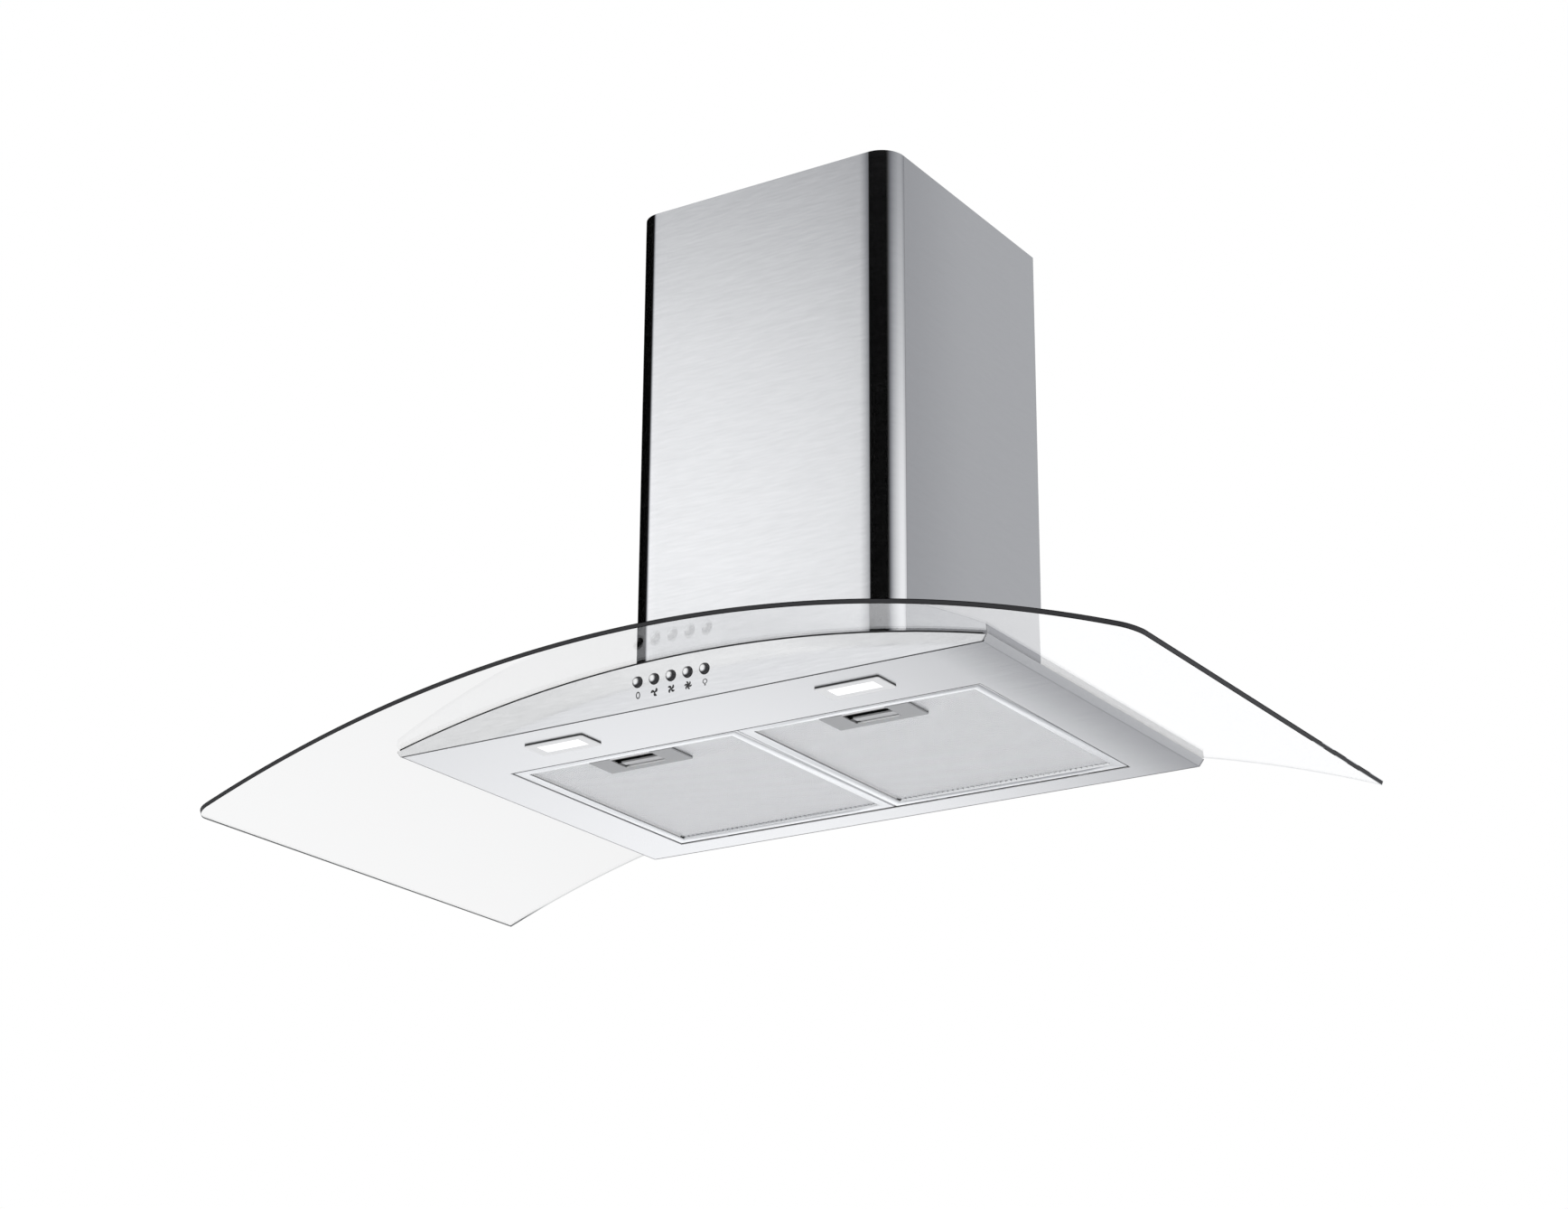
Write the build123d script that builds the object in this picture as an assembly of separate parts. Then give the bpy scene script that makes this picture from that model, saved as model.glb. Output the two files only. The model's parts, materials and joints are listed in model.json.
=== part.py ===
"""Wall-mounted chimney hood with a curved glass canopy, as an assembly of separate pieces.

Frame, in millimetres: +X to the right seen from the front, +Y into the wall, +Z up.
The wall is the plane y = 0, the underside is the plane z = 0, and x = 0 is the middle.
"""
import math
import os

from build123d import *

os.makedirs("parts", exist_ok=True)

# ---------------------------------------------------------------- driving dimensions
# Bent glass canopy; its bend axis runs along Y
glass_width = 900.0
glass_depth = 448.0
glass_thick = 4.0
glass_bend_radius = 1246.0        # lower face
glass_wall_gap = 3.5
glass_corner_radius = 14.0
glass_notch_gap = 3.0             # round the motor box
glass_hole_gap = 1.2              # round a screw
glass_screw_margin = 7.0          # outside the motor box foot
glass_screw_front = 15.0          # behind the front of the motor box
glass_screw_rear = 45.0           # from the wall
washer_thick = 1.0
washer_rim = 0.6                  # wider than the screw head
gasket_thick = 1.5
gasket_width = 10.0
gasket_edge_inset = 1.0
gasket_front_inset = 0.2
gasket_box_gap = 1.0              # from the motor box foot

# Metal body under the glass
body_width = 567.0                # at the underside
body_depth = 380.0
body_height = 39.7                # underside to the glass at the crown
side_lean = 37.0                  # degrees from vertical
fascia_lean = 3.9                 # degrees forward at the top
sheet = 0.8
fascia_thick = 1.0
seam_gap = 0.5                    # between fascia and underside panel
touch_gap = 0.05                  # between curved faces that seat on each other
seat_gap = 0.3                    # between pieces that rest on each other and move

# Filter opening and the two grease filters
opening_width = 465.2
opening_front_margin = 88.5       # from the fascia's foot
opening_rear_margin = 29.5
filter_gap = 1.0                  # round each filter
filter_rear_gap = 2.2
filter_lift = 0.3                 # frame's face above the underside plane
filter_height = 8.5
filter_wall = 0.8
filter_border = 11.0
filter_lip = 1.2                  # folded-up inner edge
filter_top_flange = 6.0
mesh_thick = 0.5
core_layers = 5
core_sheet = 0.4
mesh_tuck = 5.0                   # how far mesh and core reach under the border
hinge_pin_radius = 1.2
hinge_pin_height = 3.3            # above the frame's face
hinge_bore_gap = 0.06
hook_spread = 140.0               # between the two hooks of one filter
hook_width = 8.0
hook_wall = 1.0
hook_notch_gap = 2.0
hook_sheet = 1.2
hook_foot = 18.0
hook_gap = 0.4                    # above the swinging edge
pin_overhang = 3.0                # pin beyond its notch, each end
filter_layer_gap = 0.6

# Finger latch of a filter
latch_width = 84.0
latch_depth = 34.0
latch_plate_thick = 1.2
latch_cup_width = 56.0
latch_cup_wall = 1.2
slot_width = 42.5
slot_front_margin = 3.0
slot_depth = 22.5
finger_lip_depth = 7.0
finger_lip_recess = 0.2           # inside the plate's face
latch_travel = 5.5
slide_bar = 1.6                   # front bar and spring post of the slide
tongue_width = 30.0
tongue_thick = 1.6
tongue_reach = 4.5                # over the edge of the opening
latch_gap = 0.4                   # round the sliding parts
latch_spring_radius = 1.6
latch_spring_wire = 0.25
latch_spring_turns = 9
latch_spring_gap = 0.1
latch_opening_gap = 0.2           # round the housing
latch_side_gap = 0.6

# Push buttons and switch block
button_count = 5
button_pitch = 16.4
button_row_shift = -3.5           # middle button's x
button_height = 23.0              # up the fascia
button_radius = 4.5
button_collar = 1.6               # straight part that stands out
button_dome = 1.9
button_head_depth = 4.2           # inside the fascia
button_stem_radius = 2.5
button_stem_length = 14.0
button_travel = 3.0
button_fit = 0.06                 # stem in its guide
button_hole_gap = 0.4
switch_width = 92.0
switch_tall = 19.0
switch_deep = 26.0
switch_bore_gap = 0.6             # beyond the pressed stem

# Lamps
lamp_spread = 287.5               # between the two lamp centres
lamp_front = 28.4                 # from the fascia's foot to the lamp frame
lamp_frame_width = 60.0
lamp_frame_depth = 29.5
lamp_proud = 1.6
lamp_trim = 2.6                   # frame that overlaps the panel
lamp_body_height = 12.0
lamp_wall = 1.6
lamp_lens_width = 43.0
lamp_lens_depth = 16.5
led_board_thick = 1.6
lamp_fit = 0.25
lamp_corner = 2.0
lens_gap = 0.1
lens_recess = 0.3
lens_rim = 2.0
lens_rim_thick = 1.5
led_board_margin = 1.0
led_size = 3.6
led_height = 0.8
led_pitch = 8.0
led_count = 5

# Motor box, wall plate and air path
box_width = 224.0
box_front = 238.0                 # its front face, from the wall
box_top = 300.0
box_sheet = 1.0
box_flange = 9.0
throat_margin = 6.0               # deck opening inside the box
throat_rear = 16.0                # deck opening from the wall
box_screw_margin = 18.0           # from the corners of the foot
baffle_gap = 11.0                 # in front of the filter opening
baffle_half_width = 230.0
baffle_foot = 8.0
blower_deck_height = 258.0
wall_plate_thick = 1.5
wall_plate_top = 350.0
wall_plate_foot = 44.0
wall_screw_spread = 180.0
wall_screw_low = 60.0
wall_screw_high = 325.0
wall_screw_hole = 3.25
screw_radius = 2.0
screw_head_radius = 4.0
screw_head_height = 2.4
screw_fit = 0.05
screw_tip = 2.0                   # shank beyond what it clamps

# Blower
impeller_radius = 72.0
impeller_width = 120.0
impeller_ring = 10.0
impeller_ring_thick = 2.0
impeller_disc_thick = 2.5
blade_count = 36
blade_thick = 0.9
blade_curve = 9.0
hub_radius = 12.0
hub_length = 18.0
fan_axis_depth = 130.0            # from the wall
fan_axis_height = 152.0
scroll_start = 65.0               # degrees, at the cut-off
scroll_start_radius = 80.0
scroll_growth = 34.0
scroll_wall = 2.0
scroll_side_gap = 2.0
scroll_flange = 8.0
inlet_radius = 58.0
inlet_lip = 5.0

# Motor, inside the left half of the impeller
shaft_radius = 4.0
shaft_fit = 0.05
press_gap = 0.02
motor_radius = 46.0
stator_length = 22.0
motor_cap_length = 14.0
motor_cap_wall = 2.5
stator_bore = 24.4
rotor_gap = 0.4
winding_inner = 28.0
winding_outer = 41.0
bearing_radius = 8.0
bearing_length = 8.0
bearing_boss = 11.0
bearing_inset = 2.0               # from the cap's face
motor_vent_radius = 6.0
motor_vent_ring = 27.0
motor_vent_count = 6
winding_length = 7.0
shaft_overhang = 4.0
bracket_thick = 1.5
bracket_disc = 40.0
bracket_arm = 14.0
bracket_reach = 70.0
grommet_radius = 6.0
grommet_thick = 1.5
capacitor_radius = 15.0
capacitor_length = 60.0
capacitor_front = 30.0            # from the front of the motor box

# Duct collar and its non-return flaps
collar_radius = 75.0
collar_wall = 2.5
collar_height = 45.0
collar_flange = 13.0
collar_flange_thick = 2.5
collar_axis_depth = 112.0         # from the wall
flap_height = 12.0                # flap axis above the box
flap_offset = 2.5                 # flap axis from the collar's middle
flap_thick = 1.2
flap_rim_gap = 1.3
flap_ledge = 3.5
flap_pin_radius = 1.2
flap_pin_gap = 0.06
flap_pin_bite = 1.8
flap_pin_end_gap = 0.3
flap_ledge_thick = 2.0

# Terminal box and LED driver
terminal_width = 100.0
terminal_deep = 30.0
terminal_tall = 26.0
terminal_wall = 2.0
terminal_gap = 3.0                # from the collar's flange
gland_x = 28.0
gland_radius = 9.0
gland_length = 18.0
gland_bore = 4.5
driver_width = 46.0
driver_deep = 30.0
driver_tall = 18.0
driver_gap = 4.0                  # from the switch block

# Chimney covers
chimney_width = 269.0
chimney_depth = 261.0
chimney_top = 520.5
chimney_corner = 22.5
chimney_return = 10.0             # rear edges folded inwards
chimney_glass_gap = 0.4
cover_gap = 0.7                   # between lower and upper cover
upper_length = 419.0
vent_count = 7
vent_pitch = 9.0
vent_length = 90.0
vent_width = 4.0
vent_top_gap = 25.0               # below the top bracket
chimney_bracket_foot = 55.0
chimney_bracket_top = 95.0
chimney_bracket_deep = 30.0
bracket_sheet = 1.5
top_bracket_height = 30.0
top_bracket_inset = 6.0
top_bracket_ear = 30.0
top_bracket_holes = 180.0
top_bracket_hole_inset = 8.0      # from the ear's front edge
bracket_screw_margin = 10.0
chimney_screw_inset = 7.0         # from the cover's side

# ---------------------------------------------------------------- worked-out places
bend_axis_z = body_height - glass_bend_radius
deck_radius = glass_bend_radius - gasket_thick
side_slope = math.tan(math.radians(side_lean))
side_offset = sheet / math.cos(math.radians(side_lean))
opening_front = -body_depth + opening_front_margin
opening_rear = -opening_rear_margin
filter_width = (opening_width - 3 * filter_gap) / 2
filter_x = (filter_width + filter_gap) / 2
filter_front = opening_front + filter_gap
filter_rear = opening_rear - filter_rear_gap
filter_top = filter_lift + filter_height
hinge_y = filter_rear - hinge_pin_radius
hinge_z = filter_lift + hinge_pin_height
mesh_z = filter_lift + filter_wall + filter_lip
latch_front = filter_front + filter_border
latch_rear = latch_front + latch_depth
box_half = box_width / 2
fan_y = -fan_axis_depth
fan_z = fan_axis_height
scroll_half = impeller_width / 2 + scroll_side_gap + scroll_wall
motor_left = -(scroll_half + grommet_thick)
motor_right = motor_left + stator_length + 2 * motor_cap_length
collar_y = -collar_axis_depth
flap_z = box_top + flap_height
chimney_screw_x = chimney_width / 2 - chimney_screw_inset
BIG = 1500.0


# ---------------------------------------------------------------- shape helpers
def block(x0, x1, y0, y1, z0, z1):
    """A box between two corners."""
    place = Pos((x0 + x1) / 2, (y0 + y1) / 2, (z0 + z1) / 2)
    return place * Box(x1 - x0, y1 - y0, z1 - z0)


def rod_x(radius, x0, x1, y, z):
    """A cylinder along X."""
    return Pos((x0 + x1) / 2, y, z) * Rot(0, 90, 0) * Cylinder(radius, x1 - x0)


def rod_y(radius, y0, y1, x, z):
    """A cylinder along Y."""
    return Pos(x, (y0 + y1) / 2, z) * Rot(90, 0, 0) * Cylinder(radius, y1 - y0)


def rod_z(radius, z0, z1, x, y):
    """A cylinder along Z."""
    return Pos(x, y, (z0 + z1) / 2) * Cylinder(radius, z1 - z0)


def bend_cylinder(radius):
    """The solid cylinder about the glass's bend axis."""
    return rod_y(radius, -BIG, BIG, 0, bend_axis_z)


def bend_shell(inner, outer, x_half, y0, y1):
    """A sheet that follows the bend, between two radii, within +-x_half and y0 to y1."""
    ring = block(-x_half, x_half, y0, y1, -body_height - 60, body_height + 60)
    return (ring & bend_cylinder(outer)) - bend_cylinder(inner)


def on_bend(x, y, radius):
    """A place at a radius of the bend, above x on the glass; local +Z is the sheet's normal."""
    turn = math.degrees(math.asin(x / glass_bend_radius))
    return Pos(0, y, bend_axis_z) * Rot(0, turn, 0) * Pos(0, 0, radius)


def fascia_place(x, up):
    """A place on the fascia's front face: local +Y points into the hood."""
    return Pos(0, -body_depth, 0) * Rot(fascia_lean, 0, 0) * Pos(x, 0, up)


def fascia_slab(near, far):
    """The layer behind the fascia's front plane, from one depth to another."""
    return fascia_place(0, 0) * block(-BIG / 2, BIG / 2, near, far, -BIG / 4, BIG / 4)


def leaning_prism(inset_x, floor):
    """The body's cross-section along Y: flat floor, sides that lean outwards, open-ended top."""
    half = body_width / 2 - inset_x
    top = body_height + 20
    corners = [
        (-half - side_slope * floor, floor),
        (half + side_slope * floor, floor),
        (half + side_slope * top, top),
        (-half - side_slope * top, top),
    ]
    return extrude(Plane.XZ * Polygon(*corners, align=None), amount=body_depth + 20)


def save(name, *solids):
    """Write one node's STEP file."""
    shape = solids[0] if len(solids) == 1 else Compound(list(solids))
    export_step(shape, f"parts/{name}.step")


# ---------------------------------------------------------------- metal body
def body_outside():
    """The whole outline of the body, up to the gasket."""
    form = leaning_prism(0, 0) & bend_cylinder(deck_radius)
    return form & fascia_slab(0, BIG / 2)


def body_inside():
    """The space inside the folded sheet."""
    return leaning_prism(side_offset, sheet) & bend_cylinder(deck_radius)


def lamp_box(x, grow, z0, z1):
    """The block of one lamp's body, grown by a gap all round."""
    mid_y = lamp_middle_y()
    half_x = lamp_frame_width / 2 - lamp_trim + grow
    half_y = lamp_frame_depth / 2 - lamp_trim + grow
    return block(x - half_x, x + half_x, mid_y - half_y, mid_y + half_y, z0, z1)


def underside_panel():
    """Folded pan: floor, leaning sides and rear wall, with the filter and lamp openings."""
    shell = body_outside() - body_inside()
    rear = body_outside() & block(-BIG / 2, BIG / 2, -sheet, 0, -1, BIG / 4)
    pan = (shell + rear) - fascia_slab(-BIG / 4, fascia_thick + seam_gap)
    half = opening_width / 2
    pan -= block(-half, half, opening_front, opening_rear, -1, sheet + 1)
    for side in (-1, 1):
        pan -= lamp_box(side * lamp_spread / 2, lamp_fit, -1, sheet + 1)
    return pan


def button_spots():
    """The x of each button, left to right."""
    first = button_row_shift - (button_count - 1) / 2 * button_pitch
    return [first + button_pitch * step for step in range(button_count)]


def front_fascia():
    """Arched front plate with the button holes."""
    plate = (leaning_prism(0, 0) & bend_cylinder(deck_radius)) & fascia_slab(0, fascia_thick)
    for x in button_spots():
        hole = rod_y(button_radius + button_hole_gap, -5, 5, 0, 0)
        plate -= fascia_place(x, button_height) * hole
    return plate


def deck_screw_spots():
    """(x, y) of the screws that hold the motor box to the deck."""
    x = box_half + box_flange / 2
    rows = (-box_front + box_screw_margin, -box_front / 2, -box_screw_margin)
    return [(side * x, y) for side in (-1, 1) for y in rows]


def glass_screw_spots():
    """(x, y) of the screws that hold the glass."""
    x = box_half + box_flange + glass_screw_margin
    rows = (-box_front + glass_screw_front, -glass_screw_rear)
    return [(side * x, y) for side in (-1, 1) for y in rows]


def top_deck():
    """Arched sheet under the glass, open over the filters where the motor box stands."""
    deck = bend_shell(deck_radius - sheet, deck_radius, BIG / 2, -body_depth - 20, -sheet)
    deck = (deck & leaning_prism(side_offset, sheet)) & fascia_slab(fascia_thick, BIG / 2)
    half = box_half - throat_margin
    front = -box_front + throat_margin
    deck -= block(-half, half, front, -throat_rear, 0, 2 * body_height)
    for x, y in deck_screw_spots() + glass_screw_spots():
        deck -= on_bend(x, y, deck_radius) * Cylinder(screw_radius + screw_fit, 20)
    return deck


def plenum_baffle():
    """Upright sheet between the electrics at the front and the filter space."""
    half = baffle_half_width
    rear = opening_front - baffle_gap
    front = rear - sheet
    wall = block(-half, half, front, rear, sheet, 2 * body_height)
    foot = block(-half, half, front - baffle_foot, front, sheet, 2 * sheet)
    return (wall + foot) & bend_cylinder(deck_radius - sheet - touch_gap)


# ---------------------------------------------------------------- glass canopy
def glass_notch():
    """The notch in the rear of the glass that clears the motor box."""
    half = box_half + glass_notch_gap
    front = -box_front - glass_notch_gap
    return block(-half, half, front, 50, -body_height, 3 * body_height)


def glass_screw_hole(x, y):
    """The clearance hole of one glass screw, through glass and gasket."""
    return on_bend(x, y, glass_bend_radius) * Cylinder(screw_radius + glass_hole_gap, 30)


def glass_canopy():
    """Bent toughened sheet with rounded front corners and holes for its screws."""
    outer = glass_bend_radius + glass_thick
    half_angle = math.degrees(math.asin(glass_width / 2 / outer))
    rear = -glass_wall_gap
    front = rear - glass_depth
    glass = bend_shell(glass_bend_radius, outer, BIG / 2, front, rear)
    for side in (-1, 1):
        beyond = block(min(0, side * BIG), max(0, side * BIG), -BIG, BIG, 0, 2 * BIG)
        glass -= Pos(0, 0, bend_axis_z) * Rot(0, side * half_angle, 0) * beyond
    plan = Pos(0, (front + rear) / 2, 0) * Rectangle(BIG, glass_depth)
    corner = glass_corner_radius
    reach = glass_width / 2
    for side in (-1, 1):
        square = Pos(side * reach, front) * Rectangle(2 * corner, 2 * corner)
        plan -= square - Pos(side * (reach - corner), front + corner) * Circle(corner)
    glass &= Pos(0, 0, -BIG / 2) * extrude(plan, amount=BIG)
    glass -= glass_notch()
    for x, y in glass_screw_spots():
        glass -= glass_screw_hole(x, y)
    return glass


def glass_gasket():
    """Foam seal between glass and body: a rim and a U round the motor box."""
    low = deck_radius + touch_gap
    high = glass_bend_radius - touch_gap
    full = bend_shell(low, high, BIG / 2, -body_depth - 20, -glass_wall_gap)
    rim = full & leaning_prism(gasket_edge_inset, 0) & fascia_slab(gasket_front_inset, BIG / 2)
    rear = -gasket_width - glass_wall_gap
    inner = leaning_prism(gasket_width, 0) & fascia_slab(gasket_width, BIG / 2)
    rim -= inner & block(-BIG, BIG, -BIG, rear, -BIG, BIG)
    rim -= glass_notch()
    clear_x = box_half + box_flange + gasket_box_gap
    clear_y = -box_front - box_flange - gasket_box_gap
    foot = block(-clear_x, clear_x, clear_y, 50, -body_height, 3 * body_height)
    reach = clear_x + gasket_width + 2 * gasket_box_gap
    ring = bend_shell(low, high, reach, clear_y - gasket_width, rear - gasket_box_gap)
    rim -= foot
    ring -= foot
    for x, y in glass_screw_spots():
        ring -= glass_screw_hole(x, y)
    return rim.solids() + ring.solids()


def glass_screws():
    """Four screws with soft washers that clamp the glass to the deck."""
    pieces = []
    top = glass_bend_radius + glass_thick
    for x, y in glass_screw_spots():
        spot = on_bend(x, y, top)
        washer = Cylinder(screw_head_radius + washer_rim, washer_thick)
        washer -= Cylinder(screw_radius + screw_fit, 2 * washer_thick)
        pieces.append(spot * Pos(0, 0, washer_thick / 2 + 2 * touch_gap) * washer)
        clamped = washer_thick + glass_thick + gasket_thick + sheet
        seat = Pos(0, 0, washer_thick + 3 * touch_gap)
        pieces.append(spot * seat * screw(clamped + screw_tip))
    return pieces


# ---------------------------------------------------------------- motor box and wall plate
def motor_box():
    """Sheet-steel box over the throat: front, sides, top, and a curved foot flange."""
    rear = -wall_plate_thick
    outer = block(-box_half, box_half, -box_front, rear, 0, box_top)
    half = box_half - box_sheet
    front = -box_front + box_sheet
    inner = block(-half, half, front, 50, -10, box_top - box_sheet)
    walls = (outer - inner) - bend_cylinder(deck_radius + touch_gap)
    flange = bend_shell(
        deck_radius + touch_gap,
        deck_radius + touch_gap + box_sheet,
        box_half + box_flange,
        -box_front - box_flange,
        rear - 5,
    )
    flange -= block(-half, half, front, 50, 0, 2 * body_height)
    box = walls + flange
    box -= rod_z(collar_radius - collar_wall, box_top - 10, box_top + 10, 0, collar_y)
    for x, y in deck_screw_spots():
        box -= on_bend(x, y, deck_radius) * Cylinder(screw_radius + screw_fit, 20)
    for x, y in collar_screw_spots():
        box -= rod_z(screw_radius + screw_fit, box_top - 10, box_top + 10, x, y)
    return box


def wall_plate():
    """Rear plate of the motor box, with four holes for the wall screws."""
    half = box_half
    plate = block(-half, half, -wall_plate_thick, 0, wall_plate_foot, wall_plate_top)
    for x in (-wall_screw_spread / 2, wall_screw_spread / 2):
        for z in (wall_screw_low, wall_screw_high):
            plate -= rod_y(wall_screw_hole, -10, 10, x, z)
    return plate


def blower_deck():
    """Shelf inside the motor box that the blower hangs from."""
    y0 = -box_front + box_sheet
    half = box_half - box_sheet
    top = blower_deck_height + box_sheet
    shelf = block(-half, half, y0, -wall_plate_thick, blower_deck_height, top)
    x_in = scroll_half - scroll_wall
    shelf -= block(-x_in, x_in, outlet_front(), outlet_rear(), 0, box_top)
    for x, y in scroll_screw_spots():
        shelf -= rod_z(screw_radius + screw_fit, 0, box_top, x, y)
    return shelf


def collar_screw_spots():
    """(x, y) of the screws through the collar's flange."""
    reach = (collar_radius + collar_flange / 2) / math.sqrt(2)
    return [(a * reach, collar_y + b * reach) for a in (-1, 1) for b in (-1, 1)]


def scroll_screw_spots():
    """(x, y) of the screws through the blower's outlet flange."""
    x = scroll_half + scroll_flange / 2
    rows = (outlet_front() + scroll_flange, outlet_rear() - scroll_flange)
    return [(side * x, y) for side in (-1, 1) for y in rows]


def screw(length):
    """A pan-head screw: the head's seat is at z = 0 and the shank points down."""
    head = Pos(0, 0, screw_head_height / 2) * Cylinder(screw_head_radius, screw_head_height)
    return head + Pos(0, 0, -length / 2) * Cylinder(screw_radius, length)


def chassis_screws():
    """Screws of the motor box foot, the duct collar, the blower and the chimney cover."""
    pieces = []
    for x, y in deck_screw_spots():
        under = on_bend(x, y, deck_radius - sheet - touch_gap) * Rot(180, 0, 0)
        pieces.append(under * screw(sheet + box_sheet))
    for x, y in collar_screw_spots():
        seat = box_top + collar_flange_thick
        pieces.append(Pos(x, y, seat) * screw(collar_flange_thick + box_sheet + screw_tip))
    for x, y in scroll_screw_spots():
        seat = blower_deck_height + box_sheet
        pieces.append(Pos(x, y, seat) * screw(box_sheet + scroll_wall + screw_tip))
    for side in (-1, 1):
        for z in chimney_screw_heights():
            spot = Pos(side * chimney_screw_x, -sheet - bracket_sheet, z) * Rot(90, 0, 0)
            pieces.append(spot * screw(bracket_sheet + sheet / 2))
    return pieces


def chimney_brackets():
    """Two angles on the motor box's sides that hold the lower chimney cover."""
    pieces = []
    rear = -sheet
    for side in (-1, 1):
        x0 = box_half
        x1 = chimney_width / 2 - sheet - 2
        z0, z1 = chimney_bracket_foot, chimney_bracket_top
        leg = block(x0, x0 + bracket_sheet, rear - chimney_bracket_deep, rear, z0, z1)
        leaf = block(x0, x1, rear - bracket_sheet, rear, z0, z1)
        angle = leg + leaf
        for z in chimney_screw_heights():
            angle -= rod_y(screw_radius + screw_fit, -10, 10, chimney_screw_x, z)
        pieces.append(angle if side > 0 else mirror(angle, about=Plane.YZ))
    return pieces


def chimney_screw_heights():
    """z of the screws that hold the lower chimney cover."""
    margin = bracket_screw_margin
    return (chimney_bracket_foot + margin, chimney_bracket_top - margin)


# ---------------------------------------------------------------- blower
def scroll_radius(angle, extra):
    """Radius of the scroll's spiral at an angle in degrees, plus a wall."""
    share = (angle - scroll_start) / (360 - scroll_start)
    return scroll_start_radius + scroll_growth * share + extra


def outlet_front():
    """y of the front of the blower's outlet."""
    return fan_y + scroll_start_radius * math.cos(math.radians(scroll_start))


def outlet_rear():
    """y of the rear of the blower's outlet."""
    return fan_y + scroll_start_radius + scroll_growth


def scroll_outline(extra, width):
    """The scroll's side view as a block of the given width about x = 0, grown by a wall."""
    points = []
    steps = 12
    for step in range(steps + 1):
        angle = scroll_start + (360 - scroll_start) * step / steps
        radius = scroll_radius(angle, extra)
        turn = math.radians(angle)
        points.append((fan_y + radius * math.cos(turn), fan_z + radius * math.sin(turn)))
    spiral = make_face(Spline(*points) + Line(points[-1], points[0]))
    body = Pos(-width / 2, 0, 0) * extrude(Plane.YZ * spiral, amount=width)
    y0 = outlet_front() - extra
    y1 = outlet_rear() + extra
    return body + block(-width / 2, width / 2, y0, y1, fan_z, blower_deck_height)


def scroll_half_shell(side):
    """One moulded half of the scroll: -1 is the left one with the motor, 1 the right one."""
    width = 2 * scroll_half
    shell = scroll_outline(scroll_wall, width)
    shell -= scroll_outline(0, width - 2 * scroll_wall)
    x_in = scroll_half - scroll_wall
    top = blower_deck_height
    x_out = scroll_half + scroll_flange
    y0 = outlet_front() - scroll_wall - scroll_flange
    y1 = outlet_rear() + scroll_wall + scroll_flange
    shell += block(-x_out, x_out, y0, y1, top - scroll_wall, top)
    shell -= block(-x_in, x_in, outlet_front(), outlet_rear(), top - 20, top + 1)
    shell -= rod_x(inlet_radius, -BIG / 2, BIG / 2, fan_y, fan_z)
    x0 = side * (scroll_half - scroll_wall - inlet_lip)
    x1 = side * scroll_half
    lip = rod_x(inlet_radius + scroll_wall, min(x0, x1), max(x0, x1), fan_y, fan_z)
    lip -= rod_x(inlet_radius, -BIG / 2, BIG / 2, fan_y, fan_z)
    shell += lip
    for x, y in scroll_screw_spots():
        shell -= rod_z(screw_radius + screw_fit, top - 20, top + 1, x, y)
    if side < 0:
        return shell & block(-BIG / 2, 0, -BIG, BIG, -BIG, BIG)
    return shell & block(0, BIG / 2, -BIG, BIG, -BIG, BIG)


def blade():
    """One forward-curved blade: a strip of a thin ring, kept between the wheel's radii."""
    inner = impeller_radius - impeller_ring
    middle = impeller_radius - impeller_ring / 2
    ring = Circle(blade_curve) - Circle(blade_curve - blade_thick)
    band = Circle(impeller_radius - 0.5) - Circle(inner + 0.5)
    strip = Pos(middle + 1, blade_curve - 1.2) * ring
    lower = Pos(middle, -blade_curve / 5) * Rectangle(2 * impeller_ring, blade_curve)
    length = impeller_width - impeller_ring_thick
    return Pos(0, 0, -length / 2) * extrude(strip & band & lower, amount=length)


def impeller():
    """Double-inlet fan wheel: blades between two rings, a middle disc and a hub."""
    half = impeller_width / 2
    inner = impeller_radius - impeller_ring
    wheel = Cylinder(impeller_radius, impeller_disc_thick)
    wheel += Pos(0, 0, hub_length / 2) * Cylinder(hub_radius, hub_length)
    for side in (-1, 1):
        z = side * (half - impeller_ring_thick / 2)
        ring = Cylinder(impeller_radius, impeller_ring_thick)
        ring -= Cylinder(inner, 2 * impeller_ring_thick)
        wheel += Pos(0, 0, z) * ring
    one = blade()
    wheel += [Rot(0, 0, 360 / blade_count * step) * one for step in range(blade_count)]
    wheel -= Cylinder(shaft_radius + press_gap, 4 * hub_length)
    return Pos(0, fan_y, fan_z) * Rot(0, 90, 0) * wheel


def tube_x(outer, inner, x0, x1):
    """A tube about the fan's axis."""
    solid = rod_x(outer, x0, x1, fan_y, fan_z)
    return solid - rod_x(inner, x0 - 1, x1 + 1, fan_y, fan_z)


def motor_shaft():
    """Steel shaft through both bearings and the impeller's hub."""
    x0 = motor_left - shaft_overhang
    return rod_x(shaft_radius, x0, hub_length + shaft_overhang, fan_y, fan_z)


def motor_vents(x0, x1):
    """The ring of vent holes through the motor's end."""
    holes = []
    for step in range(motor_vent_count):
        turn = 2 * math.pi * (step + 0.5) / motor_vent_count
        y = fan_y + motor_vent_ring * math.cos(turn)
        z = fan_z + motor_vent_ring * math.sin(turn)
        holes.append(rod_x(motor_vent_radius, x0, x1, y, z))
    return holes


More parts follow.
